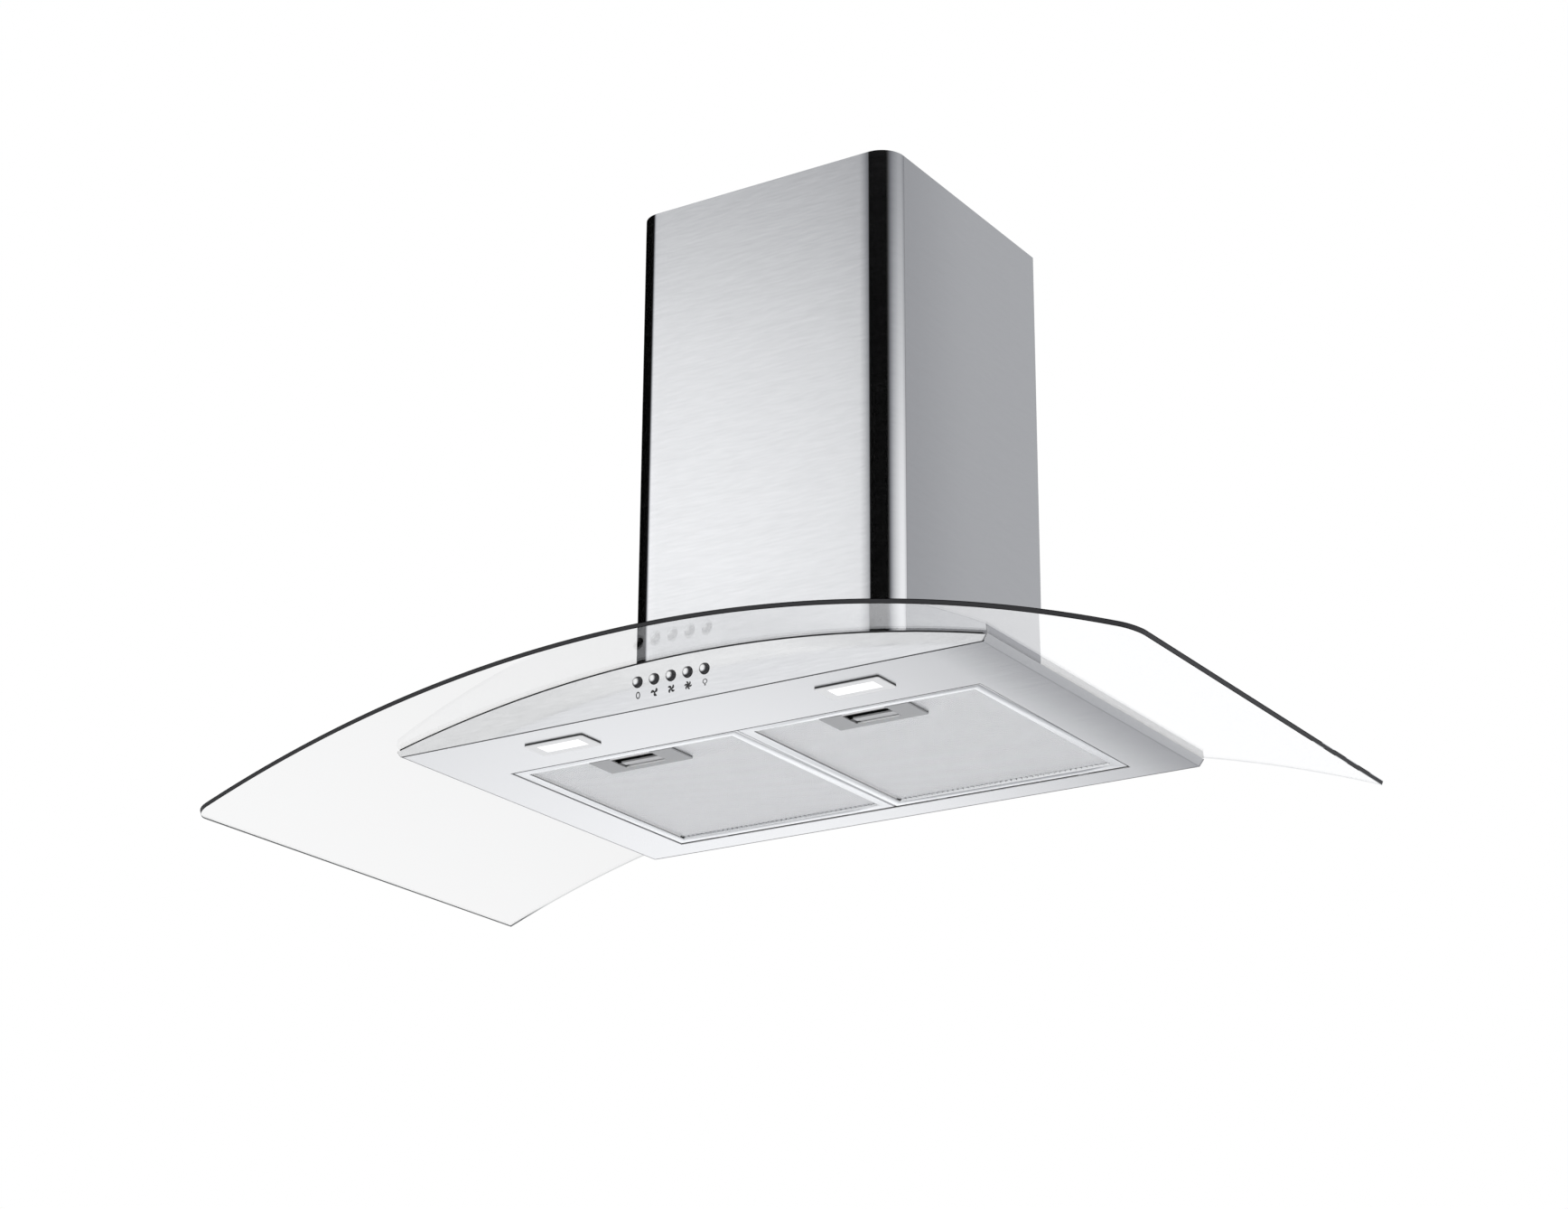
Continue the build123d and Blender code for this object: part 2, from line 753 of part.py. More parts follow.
def motor_cap(x_end, x_open):
    """Die-cast end shield: a cup with a bearing boss and vent holes."""
    low, high = min(x_end, x_open), max(x_end, x_open)
    cup = rod_x(motor_radius, low, high, fan_y, fan_z)
    step = math.copysign(motor_cap_wall, x_open - x_end)
    far = x_open + math.copysign(1, x_open - x_end)
    hollow = (min(x_end + step, far), max(x_end + step, far))
    cup -= rod_x(motor_radius - motor_cap_wall, *hollow, fan_y, fan_z)
    boss_end = x_end + math.copysign(bearing_length + bearing_inset, x_open - x_end)
    boss = (min(x_end, boss_end), max(x_end, boss_end))
    cup += rod_x(bearing_boss, *boss, fan_y, fan_z)
    cup -= rod_x(bearing_radius + press_gap, low - 1, high + 1, fan_y, fan_z)
    cup -= motor_vents(min(x_end, x_end + step) - 1, max(x_end, x_end + step) + 1)
    return cup


def motor_stator():
    """Laminated ring."""
    x0 = motor_left + motor_cap_length
    return tube_x(motor_radius, stator_bore, x0, x0 + stator_length)


def motor_windings():
    """The copper coil heads at both ends of the stator."""
    x0 = motor_left + motor_cap_length
    x1 = x0 + stator_length
    left = tube_x(winding_outer, winding_inner, x0 - winding_length, x0)
    right = tube_x(winding_outer, winding_inner, x1, x1 + winding_length)
    return [left, right]


def motor_rotor():
    """Cage rotor on the shaft."""
    x0 = motor_left + motor_cap_length
    return tube_x(stator_bore - rotor_gap, shaft_radius + press_gap, x0, x0 + stator_length)


def motor_bearings():
    """Two sintered bushes that the shaft runs in."""
    x0 = motor_left + bearing_inset
    x1 = motor_right - bearing_inset
    bore = shaft_radius + shaft_fit
    left = tube_x(bearing_radius, bore, x0, x0 + bearing_length)
    right = tube_x(bearing_radius, bore, x1 - bearing_length, x1)
    return [left, right]


def arm_turns():
    """Angles of the motor bracket's three arms, in degrees."""
    return [90, 210, 330]


def motor_bracket():
    """Pressed spider that carries the motor in the left inlet."""
    x0 = motor_left - bracket_thick
    plate = rod_x(bracket_disc, x0, motor_left, fan_y, fan_z)
    for turn in arm_turns():
        arm = block(x0, motor_left, 0, bracket_reach, -bracket_arm / 2, bracket_arm / 2)
        plate += Pos(0, fan_y, fan_z) * Rot(turn, 0, 0) * arm
    plate -= rod_x(bearing_radius + 2, x0 - 1, motor_left + 1, fan_y, fan_z)
    plate -= motor_vents(x0 - 1, motor_left + 1)
    return plate


def motor_grommets():
    """Rubber pads between the spider's arms and the scroll."""
    pieces = []
    for turn in arm_turns():
        far = bracket_reach - grommet_radius
        pad = rod_x(grommet_radius, motor_left, motor_left + grommet_thick, far, 0)
        pieces.append(Pos(0, fan_y, fan_z) * Rot(turn, 0, 0) * pad)
    return pieces


def run_capacitor():
    """Motor run capacitor on the box's right wall."""
    x = box_half - box_sheet - capacitor_radius - seat_gap
    y0 = -box_front + capacitor_front
    return rod_y(capacitor_radius, y0, y0 + capacitor_length, x, chimney_bracket_top)


# ---------------------------------------------------------------- duct collar and flaps
def outlet_collar():
    """Moulded collar for the duct, with a ledge and pin holes for the flaps."""
    inner = collar_radius - collar_wall
    collar = rod_z(collar_radius, box_top, box_top + collar_height, 0, collar_y)
    flange_top = box_top + collar_flange_thick
    collar += rod_z(collar_radius + collar_flange, box_top, flange_top, 0, collar_y)
    collar -= rod_z(inner, box_top - 1, box_top + collar_height + 1, 0, collar_y)
    ledge_top = flap_z - flap_thick / 2 - seat_gap
    ledge_foot = ledge_top - flap_ledge_thick
    ledge = rod_z(inner + 1, ledge_foot, ledge_top, 0, collar_y)
    ledge -= rod_z(inner - flap_ledge, ledge_foot - 1, ledge_top + 1, 0, collar_y)
    collar += ledge
    half = inner + flap_pin_bite + flap_pin_end_gap
    bore = flap_pin_radius + flap_pin_gap
    for x in (-flap_offset, flap_offset):
        collar -= rod_y(bore, collar_y - half, collar_y + half, x, flap_z)
    for x, y in collar_screw_spots():
        collar -= rod_z(screw_radius + screw_fit, box_top - 1, flange_top + 1, x, y)
    return collar


def damper_flap(side):
    """Half-round non-return flap with its pin: -1 is the left one, 1 the right one."""
    inner = collar_radius - collar_wall
    low = flap_z - flap_thick / 2
    disc = rod_z(inner - flap_rim_gap, low, low + flap_thick, 0, collar_y)
    near = side * flap_offset
    far = side * collar_radius
    disc &= block(min(near, far), max(near, far), -BIG, BIG, 0, BIG)
    half = math.sqrt(inner**2 - flap_offset**2) + flap_pin_bite
    pin = rod_y(flap_pin_radius, collar_y - half, collar_y + half, side * flap_offset, flap_z)
    return disc + pin


# ---------------------------------------------------------------- terminal box, LED driver
def terminal_rear():
    """y of the terminal box's rear face."""
    return collar_y - collar_radius - collar_flange - terminal_gap


def terminal_box():
    """Moulded box for the mains connection, on top of the motor box."""
    half = terminal_width / 2
    y1 = terminal_rear()
    y0 = y1 - terminal_deep
    wall = terminal_wall
    shell = block(-half, half, y0, y1, box_top, box_top + terminal_tall)
    top = box_top + terminal_tall + 1
    hollow = block(-half + wall, half - wall, y0 + wall, y1 - wall, box_top + wall, top)
    return shell - hollow


def terminal_box_cover():
    """Flat lid of the terminal box, with the hole for the mains lead."""
    half = terminal_width / 2
    y1 = terminal_rear()
    low = box_top + terminal_tall
    top = low + terminal_wall
    lid = block(-half, half, y1 - terminal_deep, y1, low, top)
    return lid - rod_z(gland_bore, low - 1, top + 1, gland_x, y1 - terminal_deep / 2)


def cable_gland():
    """Cable gland on the lid, where the mains lead enters; the lead itself isn't fitted."""
    y = terminal_rear() - terminal_deep / 2
    seat = box_top + terminal_tall + terminal_wall
    top = seat + gland_length
    body = rod_z(gland_radius, seat, top, gland_x, y)
    return body - rod_z(gland_bore, seat - 1, top + 1, gland_x, y)


def lamp_driver():
    """Sealed LED driver on the panel, between the left lamp and the switch block."""
    x1 = -switch_width / 2 + button_row_shift - driver_gap
    y0 = -body_depth + lamp_front
    return block(x1 - driver_width, x1, y0, y0 + driver_deep, sheet, sheet + driver_tall)


# ---------------------------------------------------------------- chimney covers
def cover_outline(inset, rear):
    """A chimney cover's outer outline in plan, set in from the lower cover's by a margin."""
    half = chimney_width / 2 - inset
    front = -chimney_depth + inset
    radius = chimney_corner - inset
    plan = Pos(0, (front + rear) / 2) * Rectangle(2 * half, rear - front)
    corners = plan.vertices().sort_by(Axis.Y)[:2]
    return fillet(corners, radius)


def cover_shell(inset, rear, z0, z1):
    """U-shaped cover of one folded sheet, with its rear edges turned in."""
    skin = extrude(cover_outline(inset, rear), amount=z1 - z0)
    hollow = extrude(cover_outline(inset + sheet, rear - sheet), amount=z1 - z0)
    gap = chimney_width / 2 - inset - chimney_return
    shell = skin - hollow - block(-gap, gap, rear - sheet - 1, rear + 1, -1, z1 - z0 + 1)
    return Pos(0, 0, z0) * shell


def chimney_lower_cover():
    """Outer chimney section; its foot follows the glass."""
    cover = cover_shell(0, 0, 0, chimney_top)
    cover -= bend_cylinder(glass_bend_radius + glass_thick + chimney_glass_gap)
    for side in (-1, 1):
        for z in chimney_screw_heights():
            cover -= rod_y(screw_radius + screw_fit, -10, 10, side * chimney_screw_x, z)
    return cover


def upper_foot():
    """z of the upper cover's foot when it is pushed down onto the brackets."""
    return chimney_bracket_top + seat_gap


def chimney_upper_cover():
    """Inner chimney section, with vent slots near its top."""
    inset = sheet + cover_gap
    foot = upper_foot()
    cover = cover_shell(inset, -sheet - seat_gap, foot, foot + upper_length)
    first = foot + upper_length - top_bracket_height - vent_top_gap
    y0 = -(chimney_depth + vent_length) / 2
    for step in range(vent_count):
        z = first - step * vent_pitch
        cover -= block(-BIG, BIG, y0, y0 + vent_length, z, z + vent_width)
    ear_z = foot + upper_length - top_bracket_inset - top_bracket_height / 2
    cover -= rod_x(screw_radius + screw_fit, -BIG, BIG, top_ear_y(), ear_z)
    return cover


def top_ear_y():
    """y of the screw holes in the top bracket's ears."""
    return -bracket_sheet - top_bracket_ear + top_bracket_hole_inset


def chimney_top_bracket():
    """Wall bracket of the upper cover: a bar on the wall and two ears inside the cover."""
    z1 = upper_foot() + upper_length - top_bracket_inset
    z0 = z1 - top_bracket_height
    inset = sheet + cover_gap
    edge = chimney_width / 2 - inset - chimney_return - 1
    side_face = chimney_width / 2 - inset - sheet
    step_y = -2 * sheet - 3 * seat_gap
    t = bracket_sheet
    bar = block(-edge, edge, -t, 0, z0, z1)
    for side in (-1, 1):
        legs = block(edge - t, edge, step_y - t, 0, z0, z1)
        legs += block(edge - t, side_face, step_y - t, step_y, z0, z1)
        legs += block(side_face - t, side_face, -t - top_bracket_ear, step_y, z0, z1)
        bar += legs if side > 0 else mirror(legs, about=Plane.YZ)
    mid = (z0 + z1) / 2
    for x in (-top_bracket_holes / 2, top_bracket_holes / 2):
        bar -= rod_y(wall_screw_hole, -10, 10, x, mid)
    bar -= rod_x(screw_radius + screw_fit, -BIG, BIG, top_ear_y(), mid)
    return bar


# ---------------------------------------------------------------- grease filters
def filter_ring(side, outset, inset, z0, z1):
    """A rectangular ring between two insets from the filter's outline."""
    x0 = side * filter_x - filter_width / 2
    x1 = x0 + filter_width
    y0, y1 = filter_front, filter_rear
    outer = block(x0 + outset, x1 - outset, y0 + outset, y1 - outset, z0, z1)
    return outer - block(x0 + inset, x1 - inset, y0 + inset, y1 - inset, z0 - 1, z1 + 1)


def filter_frame(side):
    """Rolled aluminium frame of one filter, with its two hinge pins."""
    y0, y1 = filter_front, filter_rear
    y0, y1 = filter_front, filter_rear
    high = filter_top
    wall = filter_wall
    face_top = filter_lift + wall
    border = filter_border
    frame = filter_ring(side, 0, border, filter_lift, face_top)
    frame += filter_ring(side, border - wall, border, face_top, face_top + filter_lip)
    frame += filter_ring(side, 0, wall, face_top, high)
    frame += filter_ring(side, 0, filter_top_flange, high - wall, high)
    middle = side * filter_x
    half = hook_width / 2 + hook_notch_gap
    pin_half = half + pin_overhang
    notch_front = y1 - filter_top_flange
    for x in (middle - hook_spread / 2, middle + hook_spread / 2):
        frame -= block(x - half, x + half, notch_front, y1 + 1, face_top, high + 1)
        frame += rod_x(hinge_pin_radius, x - pin_half, x + pin_half, hinge_y, hinge_z)
    window = tongue_width / 2 + latch_gap + latch_side_gap
    frame -= block(middle - window, middle + window, y0 - 1, y0 + 3, face_top, tongue_top() + 1)
    half = latch_width / 2 + latch_opening_gap
    top = high - 2 * wall
    frame -= block(middle - half, middle + half, y0 + 3, y0 + border + 1, face_top, top)
    return frame


def filter_layer(side, z0, z1):
    """A sheet that fills the frame, tucked under its border, cut away at the latch."""
    inset = filter_border - mesh_tuck
    x0 = side * filter_x - filter_width / 2 + inset
    x1 = side * filter_x + filter_width / 2 - inset
    y0 = filter_front + inset
    layer = block(x0, x1, y0, filter_rear - inset - filter_layer_gap, z0, z1)
    middle = side * filter_x
    half = latch_width / 2 + latch_opening_gap
    rear = latch_rear + latch_opening_gap
    return layer - block(middle - half, middle + half, y0 - 1, rear, 0, 20)


def filter_mesh(side):
    """Perforated face sheet of one filter."""
    return filter_layer(side, mesh_z, mesh_z + mesh_thick)


def filter_core(side):
    """Stack of expanded aluminium sheets behind the face sheet."""
    foot = mesh_z + mesh_thick
    pitch = (filter_top - filter_wall - core_sheet - foot) / (core_layers - 1)
    feet = [foot + pitch * step for step in range(core_layers)]
    return [filter_layer(side, z, z + core_sheet) for z in feet]


def tongue_foot():
    """z of the underside of the latch's tongue."""
    return filter_lift + latch_plate_thick + latch_gap


def tongue_top():
    """z of the top of the latch's tongue."""
    return tongue_foot() + tongue_thick


def latch_plate(side):
    """Housing of the finger latch: a face plate with a slot, and a cup over the slide."""
    middle = side * filter_x
    half = latch_width / 2
    low = filter_lift
    plate_top = low + latch_plate_thick
    top = filter_top
    cup_half = latch_cup_width / 2
    wall = latch_cup_wall
    plate = block(middle - half, middle + half, latch_front, latch_rear, low, plate_top)
    cup = block(middle - cup_half, middle + cup_half, latch_front, latch_rear, plate_top, top)
    half_in = cup_half - wall
    front_in, rear_in = latch_front + wall, latch_rear - wall
    cup -= block(middle - half_in, middle + half_in, front_in, rear_in, plate_top, top - wall)
    housing = plate + cup
    for edge in (-1, 1):
        rib = middle + edge * (half - wall / 2)
        housing += block(rib - wall / 2, rib + wall / 2, latch_front, latch_rear, plate_top, top)
    y0 = latch_front + slot_front_margin
    y1 = y0 + slot_depth
    slot_half = slot_width / 2
    housing -= block(middle - slot_half, middle + slot_half, y0, y1, low - 1, plate_top + 0.1)
    window = tongue_width / 2 + latch_gap
    window_top = tongue_top() + latch_gap
    y1 = front_in + 1
    return housing - block(middle - window, middle + window, latch_front - 1, y1, plate_top, window_top)


def slide_front():
    """y of the front bar of the latch's slide, just inside the housing."""
    return latch_front + latch_cup_wall + latch_gap


def carrier_front():
    """y of the front of the slide's finger lip and carrier."""
    slot_rear = latch_front + slot_front_margin + slot_depth
    return slot_rear - latch_travel - finger_lip_depth


def latch_slide(side):
    """Sliding catch: a frame round the finger space, with lip, tongue and spring post."""
    middle = side * filter_x
    z0, z1 = tongue_foot(), tongue_top()
    front = slide_front()
    carrier_y = carrier_front()
    rear = latch_rear - latch_cup_wall - latch_travel - latch_gap
    half = latch_cup_width / 2 - latch_cup_wall - latch_gap
    bar_rear = front + slide_bar
    slide = block(middle - half, middle + half, front, rear, z0, z1)
    half = slot_width / 2 + latch_gap
    slide -= block(middle - half, middle + half, bar_rear, carrier_y, z0 - 1, z1 + 1)
    half = slot_width / 2 - latch_gap
    lip_foot = filter_lift + finger_lip_recess
    lip_rear = carrier_y + finger_lip_depth
    slide += block(middle - half, middle + half, carrier_y, lip_rear, lip_foot, z0 + 0.1)
    half = tongue_width / 2
    slide += block(middle - half, middle + half, opening_front - tongue_reach, bar_rear, z0, z1)
    half = latch_spring_radius + latch_spring_wire
    post_top = z1 + 2 * latch_spring_radius
    post_rear = carrier_y + slide_bar
    return slide + block(middle - half, middle + half, carrier_y, post_rear, z1 - 0.1, post_top)


def latch_spring(side):
    """Coil spring between the slide's post and the housing's rear wall."""
    clear = latch_spring_wire + latch_spring_gap
    start_y = carrier_front() + slide_bar + clear
    end_y = latch_rear - latch_cup_wall - clear
    z = tongue_top() + latch_spring_radius + clear
    length = end_y - start_y
    path = Helix(pitch=length / latch_spring_turns, height=length, radius=latch_spring_radius)
    section = Plane(origin=path @ 0, z_dir=path % 0) * Circle(latch_spring_wire)
    coil = sweep(section, path=path, is_frenet=True)
    return Pos(side * filter_x, start_y, z) * Rot(-90, 0, 0) * coil


def filter_hinge_hooks():
    """Four folded hooks behind the opening that carry the filters' hinge pins."""
    pieces = []
    bore = hinge_pin_radius + hinge_bore_gap
    eye = bore + hook_wall
    sweep_radius = math.hypot(hinge_pin_radius, hinge_pin_height)
    arm_foot = hinge_z + sweep_radius + hook_gap
    arm_top = arm_foot + hook_sheet
    front, rear = hinge_y - hook_sheet / 2, hinge_y + hook_sheet / 2
    post_front = hinge_y + sweep_radius + hook_gap
    post_rear = post_front + hook_sheet
    for side in (-1, 1):
        for edge in (-1, 1):
            x = side * filter_x + edge * hook_spread / 2
            x0, x1 = x - hook_width / 2, x + hook_width / 2
            hook = rod_x(eye, x0, x1, hinge_y, hinge_z)
            hook += block(x0, x1, front, rear, hinge_z, arm_top)
            hook += block(x0, x1, front, post_rear, arm_foot, arm_top)
            hook += block(x0, x1, post_front, post_rear, sheet, arm_top)
            hook += block(x0, x1, post_front, post_front + hook_foot, sheet, sheet + hook_sheet)
            hook -= rod_x(bore, x0 - 1, x1 + 1, hinge_y, hinge_z)
            pieces.append(hook)
    return pieces


# ---------------------------------------------------------------- lamps
def lamp_middle_y():
    """y of the lamps' middle."""
    return -body_depth + lamp_front + lamp_frame_depth / 2


def lamp_window(x, grow, z0, z1):
    """The block of a lamp's lens, grown by a gap."""
    half_x = lamp_lens_width / 2 + grow
    half_y = lamp_lens_depth / 2 + grow
    y = lamp_middle_y()
    return block(x - half_x, x + half_x, y - half_y, y + half_y, z0, z1)


def lamp_frame(side):
    """Moulded lamp frame: a proud trim plate with a hollow body behind the panel."""
    x = side * lamp_spread / 2
    y = lamp_middle_y()
    outline = RectangleRounded(lamp_frame_width, lamp_frame_depth, lamp_corner)
    trim = Pos(x, y, -lamp_proud) * extrude(outline, amount=lamp_proud)
    body = trim + lamp_box(x, 0, -lamp_proud, lamp_body_height)
    hollow = lamp_box(x, -lamp_wall, 0, lamp_body_height - lamp_wall)
    return body - hollow - lamp_window(x, 0, -lamp_proud - 1, 0.1)


def lamp_lens(side):
    """Diffusing lens: it fills the window and rests on the frame from inside."""
    x = side * lamp_spread / 2
    lens = lamp_window(x, -lens_gap, -lamp_proud + lens_recess, 0.1)
    return lens + lamp_window(x, lens_rim, 0, lens_rim_thick)


def led_board(side):
    """LED board against the roof of the lamp body, with its row of LEDs."""
    x = side * lamp_spread / 2
    top = lamp_body_height - lamp_wall
    foot = top - led_board_thick
    board = lamp_window(x, led_board_margin, foot, top)
    half = led_size / 2
    y = lamp_middle_y()
    for step in range(led_count):
        spot = x + (step - (led_count - 1) / 2) * led_pitch
        board += block(spot - half, spot + half, y - half, y + half, foot - led_height, foot)
    return board


# ---------------------------------------------------------------- buttons and switch block
def switch_block():
    """Five-way push-button switch behind the fascia, with a guide bore for each stem."""
    x0 = button_row_shift - switch_width / 2
    x1 = x0 + switch_width
    half = switch_tall / 2
    body = block(x0, x1, fascia_thick, fascia_thick + switch_deep, -half, half)
    counter_depth = button_head_depth + button_travel + switch_bore_gap
    stem_depth = counter_depth + button_stem_length
    for x in button_spots():
        body -= rod_y(button_radius + button_hole_gap, -5, counter_depth, x, 0)
        body -= rod_y(button_stem_radius + button_fit, -5, stem_depth, x, 0)
    return fascia_place(0, button_height) * body


def push_button(x):
    """Chrome-plated domed button with its stem."""
    stem_end = button_head_depth + button_stem_length
    crown = -button_collar - button_dome
    ball = (button_radius**2 + button_dome**2) / (2 * button_dome)
    half_angle = math.asin(button_radius / ball) / 2
    on_arc = (ball * math.sin(half_angle), crown + ball * (1 - math.cos(half_angle)))
    rim = (button_radius, -button_collar)
    dome = ThreePointArc((0, crown), on_arc, rim)
    sides = Polyline(
        rim,
        (button_radius, button_head_depth),
        (button_stem_radius, button_head_depth),
        (button_stem_radius, stem_end),
        (0, stem_end),
        (0, crown),
    )
    return fascia_place(x, button_height) * revolve(make_face(dome + sides), axis=Axis.Y)


# ---------------------------------------------------------------- write every node
save("underside_panel", underside_panel())
save("front_fascia", front_fascia())
save("top_deck", top_deck())
save("plenum_baffle", plenum_baffle())
save("glass_canopy", glass_canopy())
save("glass_gasket", *glass_gasket())
save("glass_screws", *glass_screws())
save("motor_box", motor_box())
save("wall_plate", wall_plate())
save("blower_deck", blower_deck())
save("chassis_screws", *chassis_screws())
save("chimney_brackets", *chimney_brackets())
save("blower_scroll_left", scroll_half_shell(-1))
save("blower_scroll_right", scroll_half_shell(1))
save("impeller", impeller())
save("motor_shaft", motor_shaft())
save("motor_cap_left", motor_cap(motor_left, motor_left + motor_cap_length))
save("motor_cap_right", motor_cap(motor_right, motor_right - motor_cap_length))
save("motor_stator", motor_stator())
save("motor_windings", *motor_windings())
save("motor_rotor", motor_rotor())
save("motor_bearings", *motor_bearings())
save("motor_bracket", motor_bracket())
save("motor_grommets", *motor_grommets())
save("run_capacitor", run_capacitor())
save("outlet_collar", outlet_collar())
save("damper_flap_left", damper_flap(-1))
save("damper_flap_right", damper_flap(1))
save("terminal_box", terminal_box())
save("terminal_box_cover", terminal_box_cover())
save("cable_gland", cable_gland())
save("lamp_driver", lamp_driver())
save("chimney_lower_cover", chimney_lower_cover())
save("chimney_upper_cover", chimney_upper_cover())
save("chimney_top_bracket", chimney_top_bracket())
save("filter_hinge_hooks", *filter_hinge_hooks())
for side, word in ((-1, "left"), (1, "right")):
    save(f"filter_frame_{word}", filter_frame(side))
    save(f"filter_mesh_{word}", filter_mesh(side))
    save(f"filter_core_{word}", *filter_core(side))
    save(f"latch_plate_{word}", latch_plate(side))
    save(f"latch_slide_{word}", latch_slide(side))
    save(f"latch_spring_{word}", latch_spring(side))
    save(f"lamp_frame_{word}", lamp_frame(side))
    save(f"lamp_lens_{word}", lamp_lens(side))
    save(f"led_board_{word}", led_board(side))
save("switch_block", switch_block())
button_names = ("off", "low", "medium", "high", "light")
for name, x in zip(button_names, button_spots()):
    save(f"button_{name}", push_button(x))
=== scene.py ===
import json
import math

import bmesh
import bpy
import numpy as np
from mathutils import Matrix, Vector


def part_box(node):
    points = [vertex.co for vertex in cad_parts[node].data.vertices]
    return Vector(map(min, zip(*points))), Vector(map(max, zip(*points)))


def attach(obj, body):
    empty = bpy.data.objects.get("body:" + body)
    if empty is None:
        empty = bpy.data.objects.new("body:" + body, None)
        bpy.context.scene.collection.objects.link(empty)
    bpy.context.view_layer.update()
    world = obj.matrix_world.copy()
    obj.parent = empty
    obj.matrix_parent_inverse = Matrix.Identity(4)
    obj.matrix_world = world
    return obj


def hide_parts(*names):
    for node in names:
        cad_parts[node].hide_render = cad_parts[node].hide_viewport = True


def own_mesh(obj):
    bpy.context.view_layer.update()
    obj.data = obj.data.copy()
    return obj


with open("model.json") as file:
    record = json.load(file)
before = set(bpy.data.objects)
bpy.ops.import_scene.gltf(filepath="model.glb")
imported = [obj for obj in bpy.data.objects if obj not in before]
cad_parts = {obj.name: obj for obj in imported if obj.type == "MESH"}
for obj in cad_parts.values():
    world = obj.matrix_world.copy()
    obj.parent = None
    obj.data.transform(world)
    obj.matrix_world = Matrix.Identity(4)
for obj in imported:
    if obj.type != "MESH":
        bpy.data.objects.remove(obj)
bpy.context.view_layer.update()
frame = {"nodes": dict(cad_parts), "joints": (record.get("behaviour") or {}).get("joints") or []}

nodes = frame["nodes"]

# ---------------- studio
# The hood hangs on a wall above the eye. One large softbox stands to its left and one to its
# right, with dark cloth between them, so that polished corners show a black stripe.
camera_place = Vector((1.4119, -2.4184, -0.8214))
camera_azimuth = math.radians(32.69)
camera_rise = math.radians(20.08)
camera_roll = 0.006
camera_lens = 74.24
floor_drop = 1.30
floor_radius = 1.25
floor_forward = 0.2


class Wire:
    """One socket of a shader. Sums on wires and numbers add Math nodes to its tree."""

    def __init__(self, tree, socket):
        self.tree = tree
        self.socket = socket

    def math(self, operation, *values):
        """A Math node on this wire and the given values."""
        inputs = dict(enumerate((self, *values)))
        return add_node(self.tree, "Math", {"operation": operation}, inputs)

    def __add__(self, other):
        return self.math("ADD", other)

    def __mul__(self, other):
        return self.math("MULTIPLY", other)

    def __sub__(self, other):
        return self.math("SUBTRACT", other)

    def __rsub__(self, other):
        return self.math("MULTIPLY", -1.0).math("ADD", other)

    def __abs__(self):
        return self.math("ABSOLUTE")

    __radd__ = __add__
    __rmul__ = __mul__

    def between(self, low, high):
        """Rises smoothly from 0 at low to 1 at high."""
        sockets = {"Value": self, "From Min": low, "From Max": high}
        return add_node(self.tree, "MapRange", {"interpolation_type": "SMOOTHSTEP"}, sockets)

    def curve(self, *stops):
        """Goes through (value, result) stops in straight runs, by a colour ramp in grey."""
        first, last = stops[0][0], stops[-1][0]
        share = (self - first) * (1 / (last - first))
        greys = [((value - first) / (last - first), (result,) * 3) for value, result in stops]
        grey = add_node(self.tree, "ValToRGB", {"stops": greys}, {"Fac": share})
        return add_node(self.tree, "RGBToBW", {}, {"Color": grey})


def add_node(tree, kind, settings, sockets, output=0):
    """Adds a node: its settings first, then its sockets' values or wires. Gives one output."""
    node = tree.nodes.new("ShaderNode" + kind)
    for name, value in settings.items():
        if name == "stops":
            ramp = node.color_ramp
            while len(ramp.elements) < len(value):
                ramp.elements.new(0.5)
            for element, (place, colour) in zip(ramp.elements, value):
                element.position = place
                element.color = (*colour, 1.0)
        else:
            setattr(node, name, value)
    for name, value in sockets.items():
        if isinstance(value, Wire):
            tree.links.new(value.socket, node.inputs[name])
        else:
            node.inputs[name].default_value = value
    return Wire(tree, node.outputs[output])


def axes(tree, kind="Object"):
    """Wires for x, y and z: the object's own metres, or the way a ray goes."""
    place = add_node(tree, "TexCoord", {}, {}, kind)
    split = add_node(tree, "SeparateXYZ", {}, {"Vector": place})
    return [Wire(tree, socket) for socket in split.socket.node.outputs]


def cleared(owner):
    """The emptied node tree of a material or a world."""
    owner.use_nodes = True
    owner.node_tree.nodes.clear()
    return owner.node_tree


def set_camera():
    """The camera looks up at the hood from the front right, with a small roll."""
    turn, rise = camera_azimuth, camera_rise
    ahead = Vector((-math.sin(turn) * math.cos(rise), math.cos(turn) * math.cos(rise), math.sin(rise)))
    right = Vector((math.cos(turn), math.sin(turn), 0))
    up = right.cross(ahead)
    side = right * math.cos(camera_roll) + up * math.sin(camera_roll)
    over = up * math.cos(camera_roll) - right * math.sin(camera_roll)
    camera = bpy.data.objects.new("camera", bpy.data.cameras.new("camera"))
    facing = Matrix((side, over, -ahead)).transposed().to_4x4()
    camera.matrix_world = Matrix.Translation(camera_place) @ facing
    camera.data.lens = camera_lens
    camera.data.sensor_width = 36.0
    camera.data.clip_start = 0.05
    camera.data.clip_end = 50
    bpy.context.collection.objects.link(camera)
    bpy.context.scene.camera = camera


